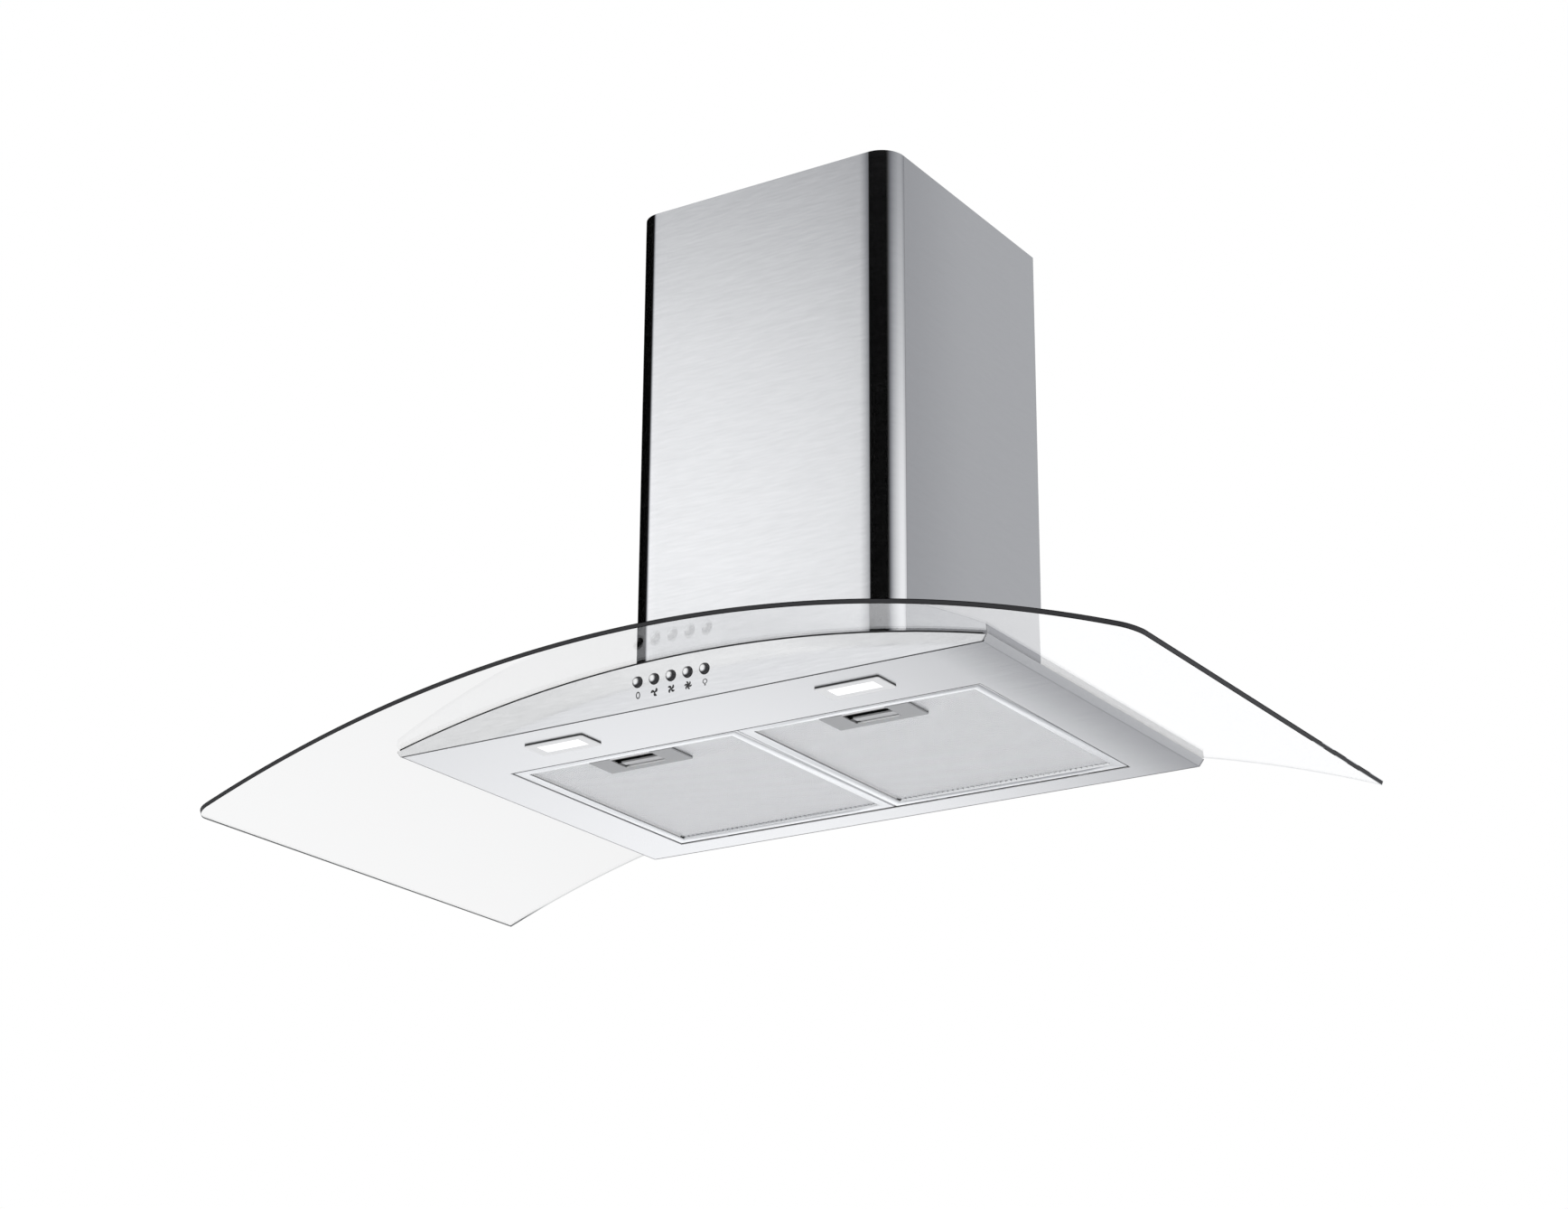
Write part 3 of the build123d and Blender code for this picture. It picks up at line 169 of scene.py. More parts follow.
def set_world():
    """White to the camera and through glass, plain to matt surfaces, softboxes to gloss.

    A ray's rise and turn in degrees give the brightness it meets: each box is a curve of the
    turn times a curve of the rise, and below them one curve runs round the hood.
    """
    world = bpy.data.worlds.new("studio")
    tree = cleared(world)
    x, y, z = axes(tree, "Generated")
    rise = z.math("ARCSINE") * math.degrees(1)
    turn = x.math("ARCTAN2", y * -1.0) * math.degrees(1)

    foot_swing = (1 - rise.between(12, 18)) * 5
    middle_swing = (1 - rise.between(18, 26)) * 0.6
    swung = turn - foot_swing - middle_swing
    left_round = swung.curve((-57, 0), (-53, 0.01), (-50, 0.05), (-45.7, 0.45), (-42, 0.88), (-39, 1.0),
                             (-34.5, 1.0), (-31.7, 0.89), (-29.2, 0.5), (-27.2, 0.04), (-25, 0))
    left_height = rise.curve((5, 0.84), (12.5, 0.84), (15, 1.08), (18.9, 1.11), (20.3, 1.22),
                             (21.6, 1.17), (24.4, 1.01), (27.3, 0.61), (34, 0.1), (40, 0.05))
    right_round = turn.curve((50, 0), (55, 0.04), (59.5, 0.13), (64, 0.25), (69.5, 0.39), (79.5, 0.60),
                             (89.5, 0.74), (109.5, 0.95), (125, 0.98), (132, 0.95), (140, 0.80),
                             (147.5, 0.6))
    right_height = rise.curve((8, 1.15), (19, 1.18), (22, 1.06), (24.9, 0.72), (27.6, 0.47),
                              (32, 0.25), (45, 0.2))
    plain_side = turn.between(147, 149.2)
    plain_round = turn.curve((147, 0.39), (149.8, 0.40), (152, 0.49), (180, 0.5))
    right = right_round * right_height * (1 - plain_side) + plain_side * plain_round
    faint = (1 - turn.between(-126, -122)) * 0.04
    upper = left_round * left_height + right + faint

    tilt = rise + 17.5
    slanted = turn + tilt
    lower_round = slanted.curve((-180, 0.45), (-158, 0.28), (-155, 0.36), (-153.9, 0.50), (-153, 0.79),
                                (-151.4, 0.98), (-150.7, 1.08), (-147.6, 1.21), (-144.5, 1.19),
                                (-142.9, 1.16), (-141, 1.04), (-134, 0.80), (-124, 0.30), (-95, 0.30),
                                (-60, 0.80), (-40, 0.93), (0, 0.93), (60, 0.80), (110, 0.95), (180, 0.45))
    lower_round = lower_round * (1 + tilt.math("MINIMUM", 3.0).math("MAXIMUM", -3.0) * 0.09)
    level = rise.between(-9, -5) * (1 - rise.between(2, 5)) * turn.between(-110, -100)
    horizon = rise.between(-11, -4) * (1 - turn.between(-130, -110))
    lower = (lower_round * (1 - horizon) + horizon) * (1 - level * 0.35)
    overhead = rise.between(29.0, 38) * 0.45 + rise.between(38, 58) * 0.35
    between_boxes = turn.between(-27, -22) * (1 - turn.between(40, 52))
    above = (rise + between_boxes).between(8, 15)
    studio = lower * (1 - above) + upper * above * (1 - overhead) + overhead

    lit = studio.between(0.02, 0.25)
    channels = {0: studio, 1: studio + lit * 0.006, 2: studio + lit * 0.028}
    lights = add_node(tree, "CombineColor", {}, channels)
    glossy = add_node(tree, "LightPath", {}, {}, "Is Glossy Ray")
    through = add_node(tree, "LightPath", {}, {}, "Is Transmission Ray")
    gloss = add_node(tree, "Background", {}, {"Color": lights, "Strength": 1.0})
    plain = add_node(tree, "Background", {}, {"Color": (1, 1, 1, 1), "Strength": 1.0})
    both = add_node(tree, "MixShader", {}, {0: glossy * (1 - through), 1: plain, 2: gloss})
    add_node_output(tree, "OutputWorld", both)
    bpy.context.scene.world = world


def add_node_output(tree, kind, surface):
    """Links a finished shader to the tree's output."""
    output = tree.nodes.new("ShaderNode" + kind)
    tree.links.new(surface.socket, output.inputs["Surface"])


set_camera()
set_world()
bpy.context.scene.view_settings.view_transform = "Standard"


def finish(name, colour, roughness, metallic=0.0, **more):
    """A material on one Principled shader. Wires may drive what varies over the surface."""
    material = bpy.data.materials.new(name)
    tree = cleared(material)
    parts = {"Base Color": colour, "Roughness": roughness, "Metallic": metallic}
    parts.update({key.replace("_", " "): value for key, value in more.items()})
    for key, value in parts.items():
        if callable(value):
            parts[key] = value(tree)
        elif isinstance(value, tuple) and len(value) == 3:
            parts[key] = (*value, 1.0)
    surface = add_node(tree, "BsdfPrincipled", {}, parts)
    add_node_output(tree, "OutputMaterial", surface)
    return material


def full_turn(steps):
    """Angles once round, the last one a step short of the first."""
    return np.linspace(0, 2 * math.pi, steps, endpoint=False)


def spread(x, y, z):
    """Points from three arrays of coordinates, each repeated along the axes it lacks."""
    return np.stack(np.broadcast_arrays(x, y, z), -1)


def make_floor():
    """A white disc of radius r under the hood: (r cos a, r sin a) for a full turn of a."""
    turn = full_turn(96)
    rim = spread(floor_radius * np.cos(turn), floor_radius * np.sin(turn) - floor_forward, -floor_drop)
    mesh = bpy.data.meshes.new("floor")
    mesh.from_pydata(rim.tolist(), [], [list(range(len(rim)))])
    floor = bpy.data.objects.new("floor", mesh)
    bpy.context.collection.objects.link(floor)
    mesh.materials.append(finish("floor_paper", (0.97, 0.97, 0.97), 0.9, Specular_IOR_Level=0.0))


make_floor()

# ---------------- brushed and satin steel body
# The body is a pan of 0.8 mm stainless sheet: floor, leaning sides and rear wall in one piece,
# with openings for the filters and lamps. An arched brushed fascia closes its front.
panel_low, panel_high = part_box("underside_panel")
sheet = 0.0008
bend_radius = 0.0010
fold_strip = 0.0016
seam_strip = 0.0010
side_lean = math.radians(37)
panel_side_height = 0.00475
panel_front_inset = 0.0001
side_below_glass = 0.0002
floor_half = panel_high.x - math.tan(side_lean) * panel_side_height
opening_rear = panel_high.y - 0.0295
front_rim = -0.3780
glass_under_radius = 1.246
gasket_thick = 0.0015
bend_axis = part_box("front_fascia")[1].z + gasket_thick + 0.0001 - glass_under_radius
deck_radius = glass_under_radius - gasket_thick
chimney_half = 0.1345
filter_gap = 0.001
seat_width = 0.0019
lamp_frame_trim = 0.0024


def grain(tree, scale, stretch=(1, 1, 1), detail=3.0, kind="TexNoise"):
    """Noise in the object's own metres: scale per metre, stretched along the axes."""
    place = add_node(tree, "TexCoord", {}, {}, "Object")
    size = tuple(scale * share for share in stretch)
    placed = add_node(tree, "Mapping", {}, {"Vector": place, "Scale": size})
    sockets = {"Vector": placed, "Scale": 1.0}
    if kind == "TexNoise":
        sockets["Detail"] = detail
    return add_node(tree, kind, {}, sockets)


def tinted(tree, value, dark, light):
    """A colour that goes from dark to light with a wire from 0 to 1."""
    dark, light = (colour if isinstance(colour, Wire) else (*colour, 1.0) for colour in (dark, light))
    sockets = {0: value, 6: dark, 7: light}
    return add_node(tree, "Mix", {"data_type": "RGBA"}, sockets, 2)


def bumped(tree, height, depth):
    """A normal from a height wire; depth is in metres."""
    return add_node(tree, "Bump", {}, {"Height": height, "Distance": depth})


def mottled(dark, light, *size):
    """A colour that wanders between dark and light with the grain."""
    return lambda tree: tinted(tree, grain(tree, *size), dark, light)


def brushed(tree, stretch):
    """Streaks of a polishing belt: long along the sheet and under a millimetre high, 0 to 1."""
    fine = grain(tree, 1.0, stretch, 4.0)
    coarse = grain(tree, 0.45, stretch, 2.0)
    return (fine * 0.65 + coarse * 0.35 - 0.5) * 2.2 + 0.5


def calm(tree, streaks):
    """The same streaks, three quarters weaker on the chimney's flat sides."""
    x, y, z = axes(tree)
    flat = abs(x).between(chimney_half - 0.0045, chimney_half - 0.0020)
    side = flat * z.between(0.040, 0.041)
    return (streaks - 0.5) * (1 - side * 0.75) + 0.5


def cloudy(tree):
    """Metallic at the chimney's corners and right side; its front and left side are a little cloudy."""
    x = axes(tree)[0]
    front = 1 - abs(x).between(chimney_half - 0.0315, chimney_half - 0.0200)
    left = 1 - x.between(0.0015 - chimney_half, 0.0021 - chimney_half)
    return 1 - left * 0.35 - front * 0.15


def steel(name, stretch, dark, light, rough, swing, anisotropic=0.0, face=None, metallic=1.0):
    """Brushed stainless sheet whose streaks run along one direction; a near-black painted shade where face
    is 0.
    """

    def colour(tree):
        streaks = tinted(tree, calm(tree, brushed(tree, stretch)), dark, light)
        # Where face is 0 the streaked colour gives way to a near-black painted shade.
        return tinted(tree, face(tree), (0.012, 0.012, 0.013), streaks) if face else streaks

    return finish(
        name,
        colour,
        lambda tree: calm(tree, brushed(tree, stretch)) * swing + (rough - swing / 2),
        metallic,
        Anisotropic=anisotropic,
        Anisotropic_Rotation=0.25,
        Normal=lambda tree: bumped(tree, calm(tree, brushed(tree, stretch)), 0.000006),
    )


def fascia_painted_shade(tree):
    """1 on the fascia's face, less on its leaning ends and 0 on its foot: the ends and foot get a painted
    shade.
    """
    x, y, z = axes(tree)
    out = abs(x) - z * math.tan(side_lean)
    end = out.between(floor_half - 0.0003, floor_half - 0.0001)
    return z.between(0.0001, 0.0002) * (1 - end * 0.6)


def shaded_cut_colour(tree):
    """Near black on sheared edges, which is painted shade in the gaps and the front seam; the colour of a
    sheared edge on the filter opening's left and rear sides and rim.
    """
    x, y, z = axes(tree)
    opening_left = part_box("filter_frame_left")[0].x - filter_gap
    left = 1 - abs(x - opening_left).between(0.0004, 0.0006)
    rear = 1 - abs(y - opening_rear).between(0.0004, 0.0006)
    front = z.between(0.0010, 0.0014) * (1 - y.between(front_rim, front_rim + 0.001))
    rim = y.between(panel_high.y - 0.0004, panel_high.y - 0.0002).math("MAXIMUM", front)
    # The near-black tone is painted shade of the gaps round the openings and of the front seam.
    gap_shade = tinted(tree, grain(tree, 1500), (0.010, 0.010, 0.011), (0.03, 0.03, 0.032))
    return tinted(tree, left.math("MAXIMUM", rear).math("MAXIMUM", rim), gap_shade, (0.60, 0.605, 0.61))


belt = ((55, 55, 450), (0.705, 0.71, 0.715), (0.785, 0.79, 0.795), 0.075, 0.02, 0.7)
brushed_steel = steel("brushed_steel", *belt, metallic=cloudy)
# The fascia's foot and leaning ends are painted dark as shade.
fascia_steel_painted_shade = steel("brushed_fascia_painted_shade", *belt, fascia_painted_shade)
satin_steel = steel("satin_steel", (30, 700, 700), (0.72, 0.725, 0.73), (0.76, 0.765, 0.77), 0.20, 0.04)
shaded_cut_edge = finish("cut_sheet_edge_painted_shade", shaded_cut_colour, 0.6, 0.5)
# Two painted shades on the sheet: a darker line on the panel's left and rear strips, beside the chimney's
# corners and in the filter gap, and near black on the panel's left bend.
painted_fold_shade = finish("fold_shade_line", mottled((0.30, 0.30, 0.31), (0.40, 0.40, 0.41), 900), 0.35, 1.0)
dark_fold_shade = finish("dark_fold_shade", mottled((0.07, 0.07, 0.075), (0.12, 0.12, 0.125), 900), 0.35, 1.0)


def show(material, *names):
    """Carried-over CAD nodes take their finish."""
    for name in names:
        nodes[name].material_slots[0].material = material


def bent(corners, radii, steps=8):
    """A path of straight runs with a tangent arc at each corner, and its left-hand normals.

    Each arc has radius r and starts r * tan(half the turn) before its corner.
    """
    corners = np.array(corners, float)
    last = len(corners) - 1
    points, normals = [], []
    for index, radius in enumerate(radii):
        corner = corners[index]
        if index in (0, last):
            run = corners[1] - corner if index == 0 else corner - corners[index - 1]
            run /= np.linalg.norm(run)
            points.append(corner[None])
            normals.append(np.array([[-run[1], run[0]]]))
            continue
        into = corner - corners[index - 1]
        away = corners[index + 1] - corner
        into, away = into / np.linalg.norm(into), away / np.linalg.norm(away)
        turn = math.atan2(into[0] * away[1] - into[1] * away[0], into @ away)
        side = np.array([-into[1], into[0]]) * math.copysign(1, turn)
        start = corner - into * radius * math.tan(abs(turn) / 2)
        centre = start + side * radius
        angles = np.linspace(0, turn, steps + 1)[:, None]
        spoke = -side
        spokes = spoke * np.cos(angles) + np.array([-spoke[1], spoke[0]]) * np.sin(angles)
        points.append(centre + radius * spokes)
        normals.append(-spokes * math.copysign(1, turn))
    return np.concatenate(points), np.concatenate(normals)


def make_piece(name, vertices, faces, materials, body="hood", stands_for=(),
               marks=None, smooth=35):
    """One mesh of points and faces, merged, with soft shading up to an angle between faces."""
    mesh = bpy.data.meshes.new(name)
    mesh.from_pydata(np.asarray(vertices).reshape(-1, 3).tolist(), [], [list(face) for face in faces])
    if marks is not None:
        mesh.polygons.foreach_set("material_index", np.asarray(marks, np.int32))
    built = bmesh.new()
    built.from_mesh(mesh)
    bmesh.ops.remove_doubles(built, verts=built.verts, dist=1e-7)
    loose = [vertex for vertex in built.verts if not vertex.link_faces]
    bmesh.ops.delete(built, geom=loose, context="VERTS")
    bmesh.ops.recalc_face_normals(built, faces=built.faces)
    built.to_mesh(mesh)
    built.free()
    mesh.polygons.foreach_set("use_smooth", np.ones(len(mesh.polygons), bool))
    mesh.set_sharp_from_angle(angle=math.radians(smooth))
    piece = bpy.data.objects.new(name, mesh)
    bpy.context.collection.objects.link(piece)
    for material in materials:
        mesh.materials.append(material)
    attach(piece, body)
    if stands_for:
        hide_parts(*stands_for)
    return piece


def cells(index):
    """The four-sided faces of a grid of points, which its last two axes run over."""
    low, high = index[..., :-1], index[..., 1:]
    return np.stack([low[..., :-1, :], low[..., 1:, :], high[..., 1:, :], high[..., :-1, :]], -1)


def plate(keep, place, tones=None):
    """A sheet over a grid of cells: both faces of each kept cell, and a rim where a cell ends.

    keep says which cells exist and tones their finish; a rim's finish is 1. place(side) gives
    the grid's points on side 0 or 1.
    """
    tones = np.zeros(keep.shape, int) if tones is None else tones
    columns, rows = keep.shape
    points = np.concatenate([place(side).reshape(-1, 3) for side in (0, 1)])
    index = np.arange((columns + 1) * (rows + 1)).reshape(columns + 1, rows + 1)
    front = cells(index)[keep]
    back = front[:, ::-1] + index.size
    wide = np.pad(keep, 1)
    rims = []
    for edge, gone in (
        ((index[:-1, :], index[1:, :]), wide[1:-1, :-1] != wide[1:-1, 1:]),
        ((index[:, :-1], index[:, 1:]), wide[:-1, 1:-1] != wide[1:, 1:-1]),
    ):
        start, end = edge[0][gone], edge[1][gone]
        rims.append(np.stack([start, end, end + index.size, start + index.size], -1))
    rims = np.concatenate(rims)
    faces = np.concatenate([front, back, rims])
    marks = np.concatenate([tones[keep], tones[keep], np.ones(len(rims), int)])
    return points, faces, marks


def joined(*parts):
    """Several (points, faces, marks) as one."""
    points, faces, marks = zip(*parts)
    shift = np.cumsum([0] + [len(part) for part in points[:-1]])
    faces = [tuple(np.asarray(face) + start) for part, start in zip(faces, shift) for face in part]
    return np.concatenate(points), faces, np.concatenate(marks)


def outside_boxes(s, t, boxes):
    """Which cells of a grid lie outside the boxes (s0, s1, t0, t1)."""
    s_mid, t_mid = (s[:-1] + s[1:]) / 2, (t[:-1] + t[1:]) / 2
    keep = np.ones((len(s_mid), len(t_mid)), bool)
    for s0, s1, t0, t1 in boxes:
        keep &= ~np.outer((s_mid > s0) & (s_mid < s1), (t_mid > t0) & (t_mid < t1))
    return keep


def panel_openings():
    """(x0, x1, y0, y1) of the filter opening and of both lamp openings."""
    low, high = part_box("filter_frame_left")
    boxes = [(low.x - filter_gap, -low.x + filter_gap, low.y - seat_width, opening_rear)]
    trim = lamp_frame_trim
    for side in ("left", "right"):
        low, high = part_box("lamp_frame_" + side)
        boxes.append((low.x + trim, high.x - trim, low.y + trim, high.y - trim))
    return boxes


def underside_panel():
    """Floor and sides: a bent cross-section along y; rear wall: an arch from the floor up.

    A side leans out until sqrt(x^2 + z^2) about the bend axis is a hair less than the glass's.
    """
    lean = math.tan(side_lean)
    rise = np.linspace(0, 0.01, 400)
    reach = np.hypot(floor_half + lean * rise, rise - bend_axis)
    top = rise[np.argmin(np.abs(reach - glass_under_radius + side_below_glass))]
    wall = (floor_half + lean * top, top)
    corners = [(-wall[0], wall[1]), (-floor_half, 0), (floor_half, 0), wall]
    path, normal = bent(corners, [0, bend_radius, bend_radius, 0])
    boxes = panel_openings()
    left_strip = -floor_half + fold_strip
    stops = sorted({left_strip} | {edge for box in boxes for edge in box[:2]})
    middle = len(path) // 2
    flat = np.array([(x, 0.0) for x in stops])
    path = np.concatenate([path[:middle], flat, path[middle:]])
    normal = np.concatenate([normal[:middle], np.tile((0.0, 1.0), (len(flat), 1)), normal[middle:]])
    front, rear = panel_low.y, panel_high.y
    ends = {front + panel_front_inset, front + seam_strip, rear - fold_strip, rear}
    depth = np.array(sorted(ends | {edge for box in boxes for edge in box[2:]}))

    def place(side):
        """Profile point plus its normal times the sheet, carried along y."""
        at = path + normal * sheet * side
        return spread(at[:, :1], depth, at[:, 1:])

    keep = outside_boxes(path[:, 0], depth, boxes)
    # Tones 3 and 2 are painted shade on the left bend and along the left and rear strips; tone 1 is the
    # near-black painted shade of the front seam strip.
    tones = np.zeros(keep.shape, int)
    turning = np.abs(np.diff(normal[:, 0])) > 1e-6
    tones[turning & (path[1:, 0] < 0)] = 3
    tones[~turning & (path[:-1, 0] > -floor_half) & (path[1:, 0] < left_strip + 1e-6)] = 2
    tones[:, -1] = 2
    tones[:, 0] = 1
    pan = plate(keep, place, tones)
    across = np.linspace(-wall[0], wall[0], 81)

    def rear_place(side):
        """Rear wall: from the leaning side or floor up to the arch of the gasket."""
        up = np.sqrt(deck_radius**2 - across**2) + bend_axis
        foot = np.maximum(0, (np.abs(across) - floor_half) / lean)
        z = np.stack([foot, np.maximum(up, foot + 1e-5)], 1)
        return spread(across[:, None], rear - sheet * side, z)

    wall_part = plate(np.ones((len(across) - 1, 1), bool), rear_place)
    points, faces, marks = joined(pan, wall_part)
    make_piece("folded_panel", points, faces, [satin_steel, shaded_cut_edge, painted_fold_shade, dark_fold_shade],
               stands_for=["underside_panel"], marks=marks)


underside_panel()
show(fascia_steel_painted_shade, "front_fascia")

# ---------------- deck, baffle and foam seal
# An arched galvanised deck closes the body under the glass, an upright baffle keeps grease
# from the switches, and a strip of black foam seals the glass to the body's edge.
def worn(least, swing, scale):
    """A roughness that wanders from least to swing above it with the grain."""
    return lambda tree: grain(tree, scale) * swing + least


def pitted(depth, *size):
    """A normal with the grain pressed in, depth metres deep."""
    return lambda tree: bumped(tree, grain(tree, *size), depth)


def spangle(tree):
    """Crystals of hot-dip zinc, a few millimetres across."""
    crystals = grain(tree, 120, kind="TexVoronoi") * 1.6
    return tinted(tree, crystals, (0.50, 0.51, 0.52), (0.66, 0.67, 0.68))


galvanised = finish("galvanised_sheet", spangle, worn(0.25, 0.25, 150), 1.0, Normal=pitted(0.00002, 400))
foam = finish("closed_cell_foam", mottled((0.010, 0.010, 0.011), (0.03, 0.03, 0.032), 900), 0.9,
              Normal=pitted(0.0002, 1500))
zinc = finish("zinc_plated_steel", mottled((0.60, 0.60, 0.58), (0.74, 0.74, 0.72), 300),
              worn(0.2, 0.2, 600), 1.0)
show(galvanised, "top_deck", "plenum_baffle")

seal_width = 0.010
seal_gap = 0.0001
seal_side_inset = 0.0030
seal_front_inset = 0.0002
fascia_lean = math.radians(3.9)
fascia_foot = -0.3800


def glass_seal():
    """A strip between deck and glass along both sides and the front, bent about the same axis.

    Its front edge follows the leaning fascia: y = foot - z * tan(lean) + inset.
    """
    seal_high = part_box("glass_gasket")[1]
    half = seal_high.x - seal_side_inset
    across = np.concatenate([[-half], np.linspace(-half + seal_width, half - seal_width, 61), [half]])
    arch = np.sqrt(glass_under_radius**2 - across**2) + bend_axis
    front = fascia_foot - arch * math.tan(fascia_lean) + seal_front_inset
    rear = np.full_like(across, seal_high.y)
    depth = np.stack([front, front + seal_width, rear], 1)

    def place(side):
        """Radius of the deck or of the glass, less a hair, at each x."""
        radius = deck_radius + seal_gap + (gasket_thick - 2 * seal_gap) * side
        x = across[:, None]
        return spread(x, depth, np.sqrt(radius**2 - x**2) + bend_axis)

    keep = np.ones((len(across) - 1, 2), bool)
    keep[1:-1, 1] = False
    points, faces, _ = plate(keep, place)
    make_piece("glass_seal", points, faces, [foam], stands_for=["glass_gasket"])


glass_seal()

# ---------------- glass canopy
# One sheet of 4 mm toughened glass, bent about an axis along y and ground at its edges, with
# rounded front corners and a notch at the rear for the motor box. Four screws clamp it.
glass_low, glass_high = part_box("glass_canopy")
glass_thick = 0.004
corner_radius = 0.014
notch_half = 0.124
notch_front = -0.241
arris = 0.00055

clear_glass = finish("clear_glass", (1.0, 1.0, 1.0), 0.0, Transmission_Weight=1.0, IOR=1.50)


def shaded_ground_edge():
    """Painted shade: near black where the edge faces out; clearer seen through the sheet, but darker at its
    left end.
    """
    material = bpy.data.materials.new("ground_glass_edge_painted_shade")
    tree = cleared(material)
    x, y, z = axes(tree)
    z = z - bend_axis
    depth = (x * x + z * z).math("SQRT") - glass_under_radius
    upper_arris = glass_thick - arris
    ground = depth.between(arris - 0.0001, arris) * (1 - depth.between(upper_arris, upper_arris + 0.0001))
    # The edge's near-black colour is painted shade.
    colour = tinted(tree, grain(tree, 2500), (0.010, 0.010, 0.012), (0.022, 0.022, 0.025))
    dark = add_node(tree, "BsdfPrincipled", {}, {"Base Color": colour, "Roughness": 0.4})
    far = add_node(tree, "BsdfTransparent", {}, {"Color": (0.78, 0.79, 0.79, 1)})
    # A darker see-through at the glass's left end: painted shade.
    left = add_node(tree, "BsdfTransparent", {}, {"Color": (0.12, 0.125, 0.125, 1)})
    clear = add_node(tree, "MixShader", {}, {0: x.between(-0.40, -0.44), 1: far, 2: left})
    behind = add_node(tree, "NewGeometry", {}, {}, "Backfacing")
    see_through = 1 - (1 - behind) * ground
    both = add_node(tree, "MixShader", {}, {0: see_through, 1: dark, 2: clear})
    add_node_output(tree, "OutputMaterial", both)
    return material


def glass_canopy():
    """Two arcs of radius R and R + t about the bend axis, over a plan with round corners.

    The front edge is at y0 + r - sqrt(r^2 - d^2), d being how far x is into a corner.
    """
    half = glass_high.x
    corner = half - corner_radius + corner_radius * np.sin(np.linspace(0, math.pi / 2, 13))
    straight = np.linspace(notch_half, half - corner_radius, 49)[1:]
    right = np.concatenate([np.linspace(0, notch_half, 17), straight, corner[1:]])
    across = np.concatenate([-right[:0:-1], right])
    into = np.clip(np.abs(across) - (half - corner_radius), 0, corner_radius)
    front = glass_low.y + corner_radius - np.sqrt(np.maximum(corner_radius**2 - into**2, 0))
    share = np.linspace(0, 1, 9)
    fore = front[:, None] + (notch_front - front[:, None]) * share
    aft = notch_front + (glass_high.y - notch_front) * share[1:]
    depth = np.concatenate([fore, np.tile(aft, (len(across), 1))], 1)

    def place(side):
        """Turn about the axis so that both faces end square to the sheet."""
        turn = np.arcsin(across / (glass_under_radius + glass_thick))[:, None]
        radius = glass_under_radius + glass_thick * side
        return spread(radius * np.sin(turn), depth, radius * np.cos(turn) + bend_axis)

    rows = np.concatenate([fore[len(across) // 2], aft])
    keep = outside_boxes(across, rows, [(-notch_half, notch_half, notch_front, 1.0)])
    points, faces, marks = plate(keep, place)
    make_piece("bent_glass", points, faces, [clear_glass, shaded_ground_edge()], stands_for=["glass_canopy"],
               marks=marks, smooth=40)


glass_canopy()
show(zinc, "glass_screws")

# ---------------- motor box and wall plate
# Folded galvanised box over the deck's opening, with the plate that hangs the hood on the
# wall behind it, the deck that holds the blower, and the screws and angles that join them.
show(galvanised, "motor_box", "wall_plate", "blower_deck", "chimney_brackets")
show(zinc, "chassis_screws")

# ---------------- blower
# A double-inlet centrifugal fan: moulded wheel and scroll halves, driven by a small motor
# with die-cast caps, a laminated stator, copper windings and sintered bushes.
along_stack = (2000, 4, 4)
along_shaft = (3000, 30, 30)
round_coil = (60, 1800, 1800)

black_plastic = finish("black_moulding", mottled((0.020, 0.020, 0.022), (0.040, 0.040, 0.043), 500),
                       worn(0.4, 0.2, 900), Normal=pitted(0.00004, 2500))
black_rubber = finish("black_rubber", mottled((0.012, 0.012, 0.012), (0.028, 0.028, 0.028), 700), 0.8)
cast_alloy = finish("cast_alloy", mottled((0.45, 0.46, 0.47), (0.60, 0.61, 0.62), 900),
                    worn(0.4, 0.2, 1200), 1.0, Normal=pitted(0.00008, 1800))
stacked_steel = finish("stacked_laminations",
                       mottled((0.22, 0.22, 0.24), (0.42, 0.42, 0.44), 1.0, along_stack), 0.45, 1.0)
ground_steel = finish("ground_shaft", mottled((0.55, 0.55, 0.56), (0.70, 0.70, 0.71), 1.0, along_shaft),
                      0.22, 1.0)
copper = finish("enamelled_copper", mottled((0.42, 0.14, 0.05), (0.80, 0.36, 0.18), 1.0, round_coil),
                0.35, 1.0, Normal=pitted(0.0003, 1.0, round_coil))
bronze = finish("sintered_bronze", mottled((0.35, 0.22, 0.10), (0.60, 0.42, 0.20), 2500), 0.5, 1.0)
white_plastic = finish("white_moulding", mottled((0.74, 0.74, 0.72), (0.82, 0.82, 0.80), 400), 0.45,
                       Normal=pitted(0.00004, 2200))
show(black_plastic, "blower_scroll_left", "blower_scroll_right", "impeller")
show(cast_alloy, "motor_cap_left", "motor_cap_right", "motor_rotor")
show(stacked_steel, "motor_stator")
show(copper, "motor_windings")
show(bronze, "motor_bearings")
show(ground_steel, "motor_shaft")
show(galvanised, "motor_bracket")
show(black_rubber, "motor_grommets")
show(white_plastic, "run_capacitor")

# ---------------- outlet and electrics
# A moulded collar with two backdraught flaps takes the duct. The terminal box, its gland and
# the lamp driver are sealed mouldings; the mains lead is left to whoever installs the hood.
show(black_plastic, "outlet_collar", "damper_flap_left", "damper_flap_right", "cable_gland")
show(white_plastic, "terminal_box", "terminal_box_cover", "lamp_driver")

# ---------------- chimney covers
# Two U-shaped covers of brushed stainless sheet. The lower one stands on the glass; the upper
# one slides inside it, has vent slots, and is held by a bracket near the ceiling.
chimney_corner = 0.0225
fold_radius = 0.0015
return_width = 0.010
cover_gap = 0.0004
corner_seam = 0.0008
cover_depth = 0.261
vent_length = 0.090
vent_height = 0.004
vent_pitch = 0.009
vent_count = 7
bracket_height = 0.030
vent_below_bracket = 0.025


